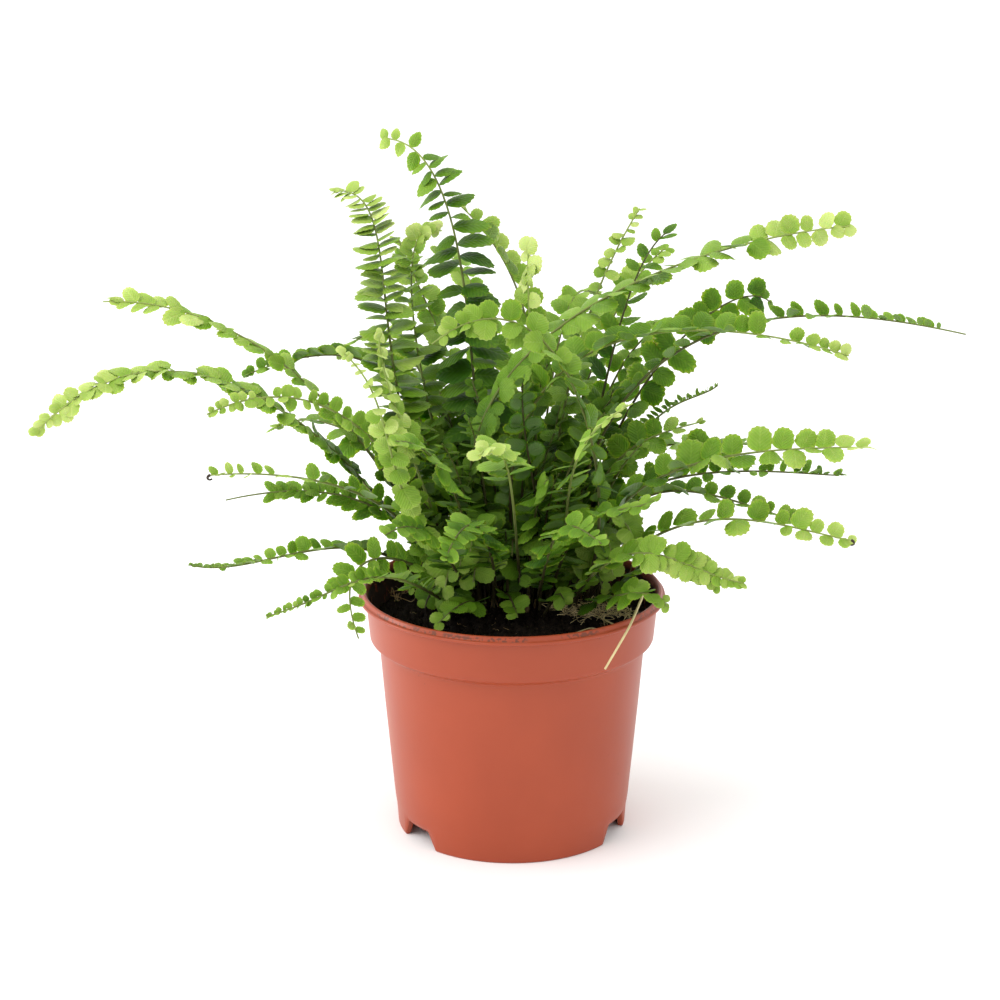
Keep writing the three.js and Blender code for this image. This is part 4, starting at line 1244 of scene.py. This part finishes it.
def crumbs_piece(material):
    """Lumps of soil: each is two poles and two staggered rings, at uneven distances from its middle."""
    rng = np.random.default_rng(FIBRE_SEED + 1)
    number, (smallest, largest) = CRUMBS
    turn = TURN * rng.random(number)
    x, y = (COLLAR_FOOT_RADIUS - EDGE_CLEAR) * np.sqrt(rng.random(number)) * flat_direction(turn)
    middle = np.stack([x, y, soil_height(x, y) + CRUMB_RAISED], 1)
    lump = [[0, 0, -1]]
    for late, height in ((0, -CRUMB_RING_AT[1]), (0.5, CRUMB_RING_AT[1])):
        around = flat_direction((np.arange(CRUMB_RING) + late) * TURN / CRUMB_RING).T
        lump += [[CRUMB_RING_AT[0] * x, CRUMB_RING_AT[0] * y, height] for x, y in around]
    lump = np.array(lump + [[0, 0, 1]])
    size = smallest + (largest - smallest) * rng.random(number) ** 3
    uneven = rng.uniform(*CRUMB_UNEVEN, (number, len(lump), 1))
    stretched = rng.uniform(*CRUMB_STRETCH, (number, 1, 3))
    points = middle[:, None] + size[:, None, None] * uneven * lump * stretched
    quads, fans = rising_faces(2, CRUMB_RING)
    faces = np.concatenate([fans, quads[:, [[0, 1, 3], [1, 2, 3]]].reshape(-1, 3)])
    parts = Parts()
    parts.add(points, faces + (np.arange(number) * len(lump))[:, None, None])
    parts.make("soil_crumbs", material)


def straw_piece(name, points, radius, sides, material, node):
    """A dry stalk or runner: one tube along a smooth curve through the points."""
    parts = Parts("pale")
    parts.add(*tube(smooth_path(points, STRAW_STEPS), radius, sides), pale=STRAW_PALE)
    parts.make(name, material, node)


# ---- Everything ----
leaf = leaf_material()
straw = straw_material()
earth = soil_material()
pot_piece(pot_material())
soil_piece(earth)
crumbs_piece(earth)
roots = spread_roots(FRONDS)
fronds = [Frond(row[0], root, *row[2:]) for row, root in zip(FRONDS, roots)]
bend_clear(fronds)
for frond in fronds:
    frond.measure()
    # its name sets how its leaflets vary
    rng = np.random.default_rng(sum(ord(c) * (k + 1) for k, c in enumerate(frond.name)))
    node = "frond_" + frond.name
    leafy_piece(node + "_leaves", [frond], rng, leaf, node)
rng = np.random.default_rng(CROWN_SEED)
leafy_piece("crown_leaves", crown(rng), rng, leaf)
rng = np.random.default_rng(SHOOT_SEED)
leafy_piece("shoot_leaves", shoots(rng), rng, leaf)
fibres_piece(straw, fronds)
stalk_radius = np.linspace(*STALK_RADII, STRAW_STEPS)
straw_piece("dry_stalk_straw", DRY_STALK, stalk_radius, STALK_SIDES, straw, "dry_stalk")
runner = [(x, y, soil_height(x, y) + STOLON_HEIGHT) for x, y in STOLON]
straw_piece("stolon_wiry", runner, STOLON_RADIUS, STEM_SIDES, straw, "stolon")

# ---- Floor, light and camera ----
corners = [(-1, -1, 0), (1, -1, 0), (1, 1, 0), (-1, 1, 0)]
floor_mesh = bpy.data.meshes.new("floor")
floor_mesh.from_pydata(np.array(corners, float) * FLOOR_HALF, [], [(0, 1, 2, 3)])
floor_mesh.materials.append(Shader("floor_pale", Roughness=0.9, Base_Color=FLOOR_COLOUR).material)
linked("floor", floor_mesh)

scene = bpy.context.scene
scene.world = bpy.data.worlds.new("studio")
scene.world.use_nodes = True
sky = scene.world.node_tree.nodes["Background"]
sky.inputs["Color"].default_value = (1, 1, 1, 1)
sky.inputs["Strength"].default_value = SKY_STRENGTH


def softbox(name, place, aim_z, size, power):
    """A round soft light that is turned to a point above the middle of the pot's foot."""
    light = bpy.data.lights.new(name, "AREA")
    light.shape, light.size, light.energy = "DISK", size, power
    lamp = linked(name, light)
    lamp.location = place
    x, y, z = np.array([0, 0, aim_z]) - np.array(place)
    lamp.rotation_euler = (math.atan2(math.hypot(x, y), -z), 0, math.atan2(y, x) - math.pi / 2)


for row in LIGHTS:
    softbox(*row)

camera = linked("camera", bpy.data.cameras.new("camera"))
camera.data.lens = CAMERA_LENS
camera.data.sensor_width = CAMERA_SENSOR
camera.location = CAMERA_PLACE
camera.rotation_euler = (math.radians(CAMERA_TILT), 0, 0)
scene.camera = camera
scene.view_settings.view_transform = "Standard"

bpy.context.view_layer.update()
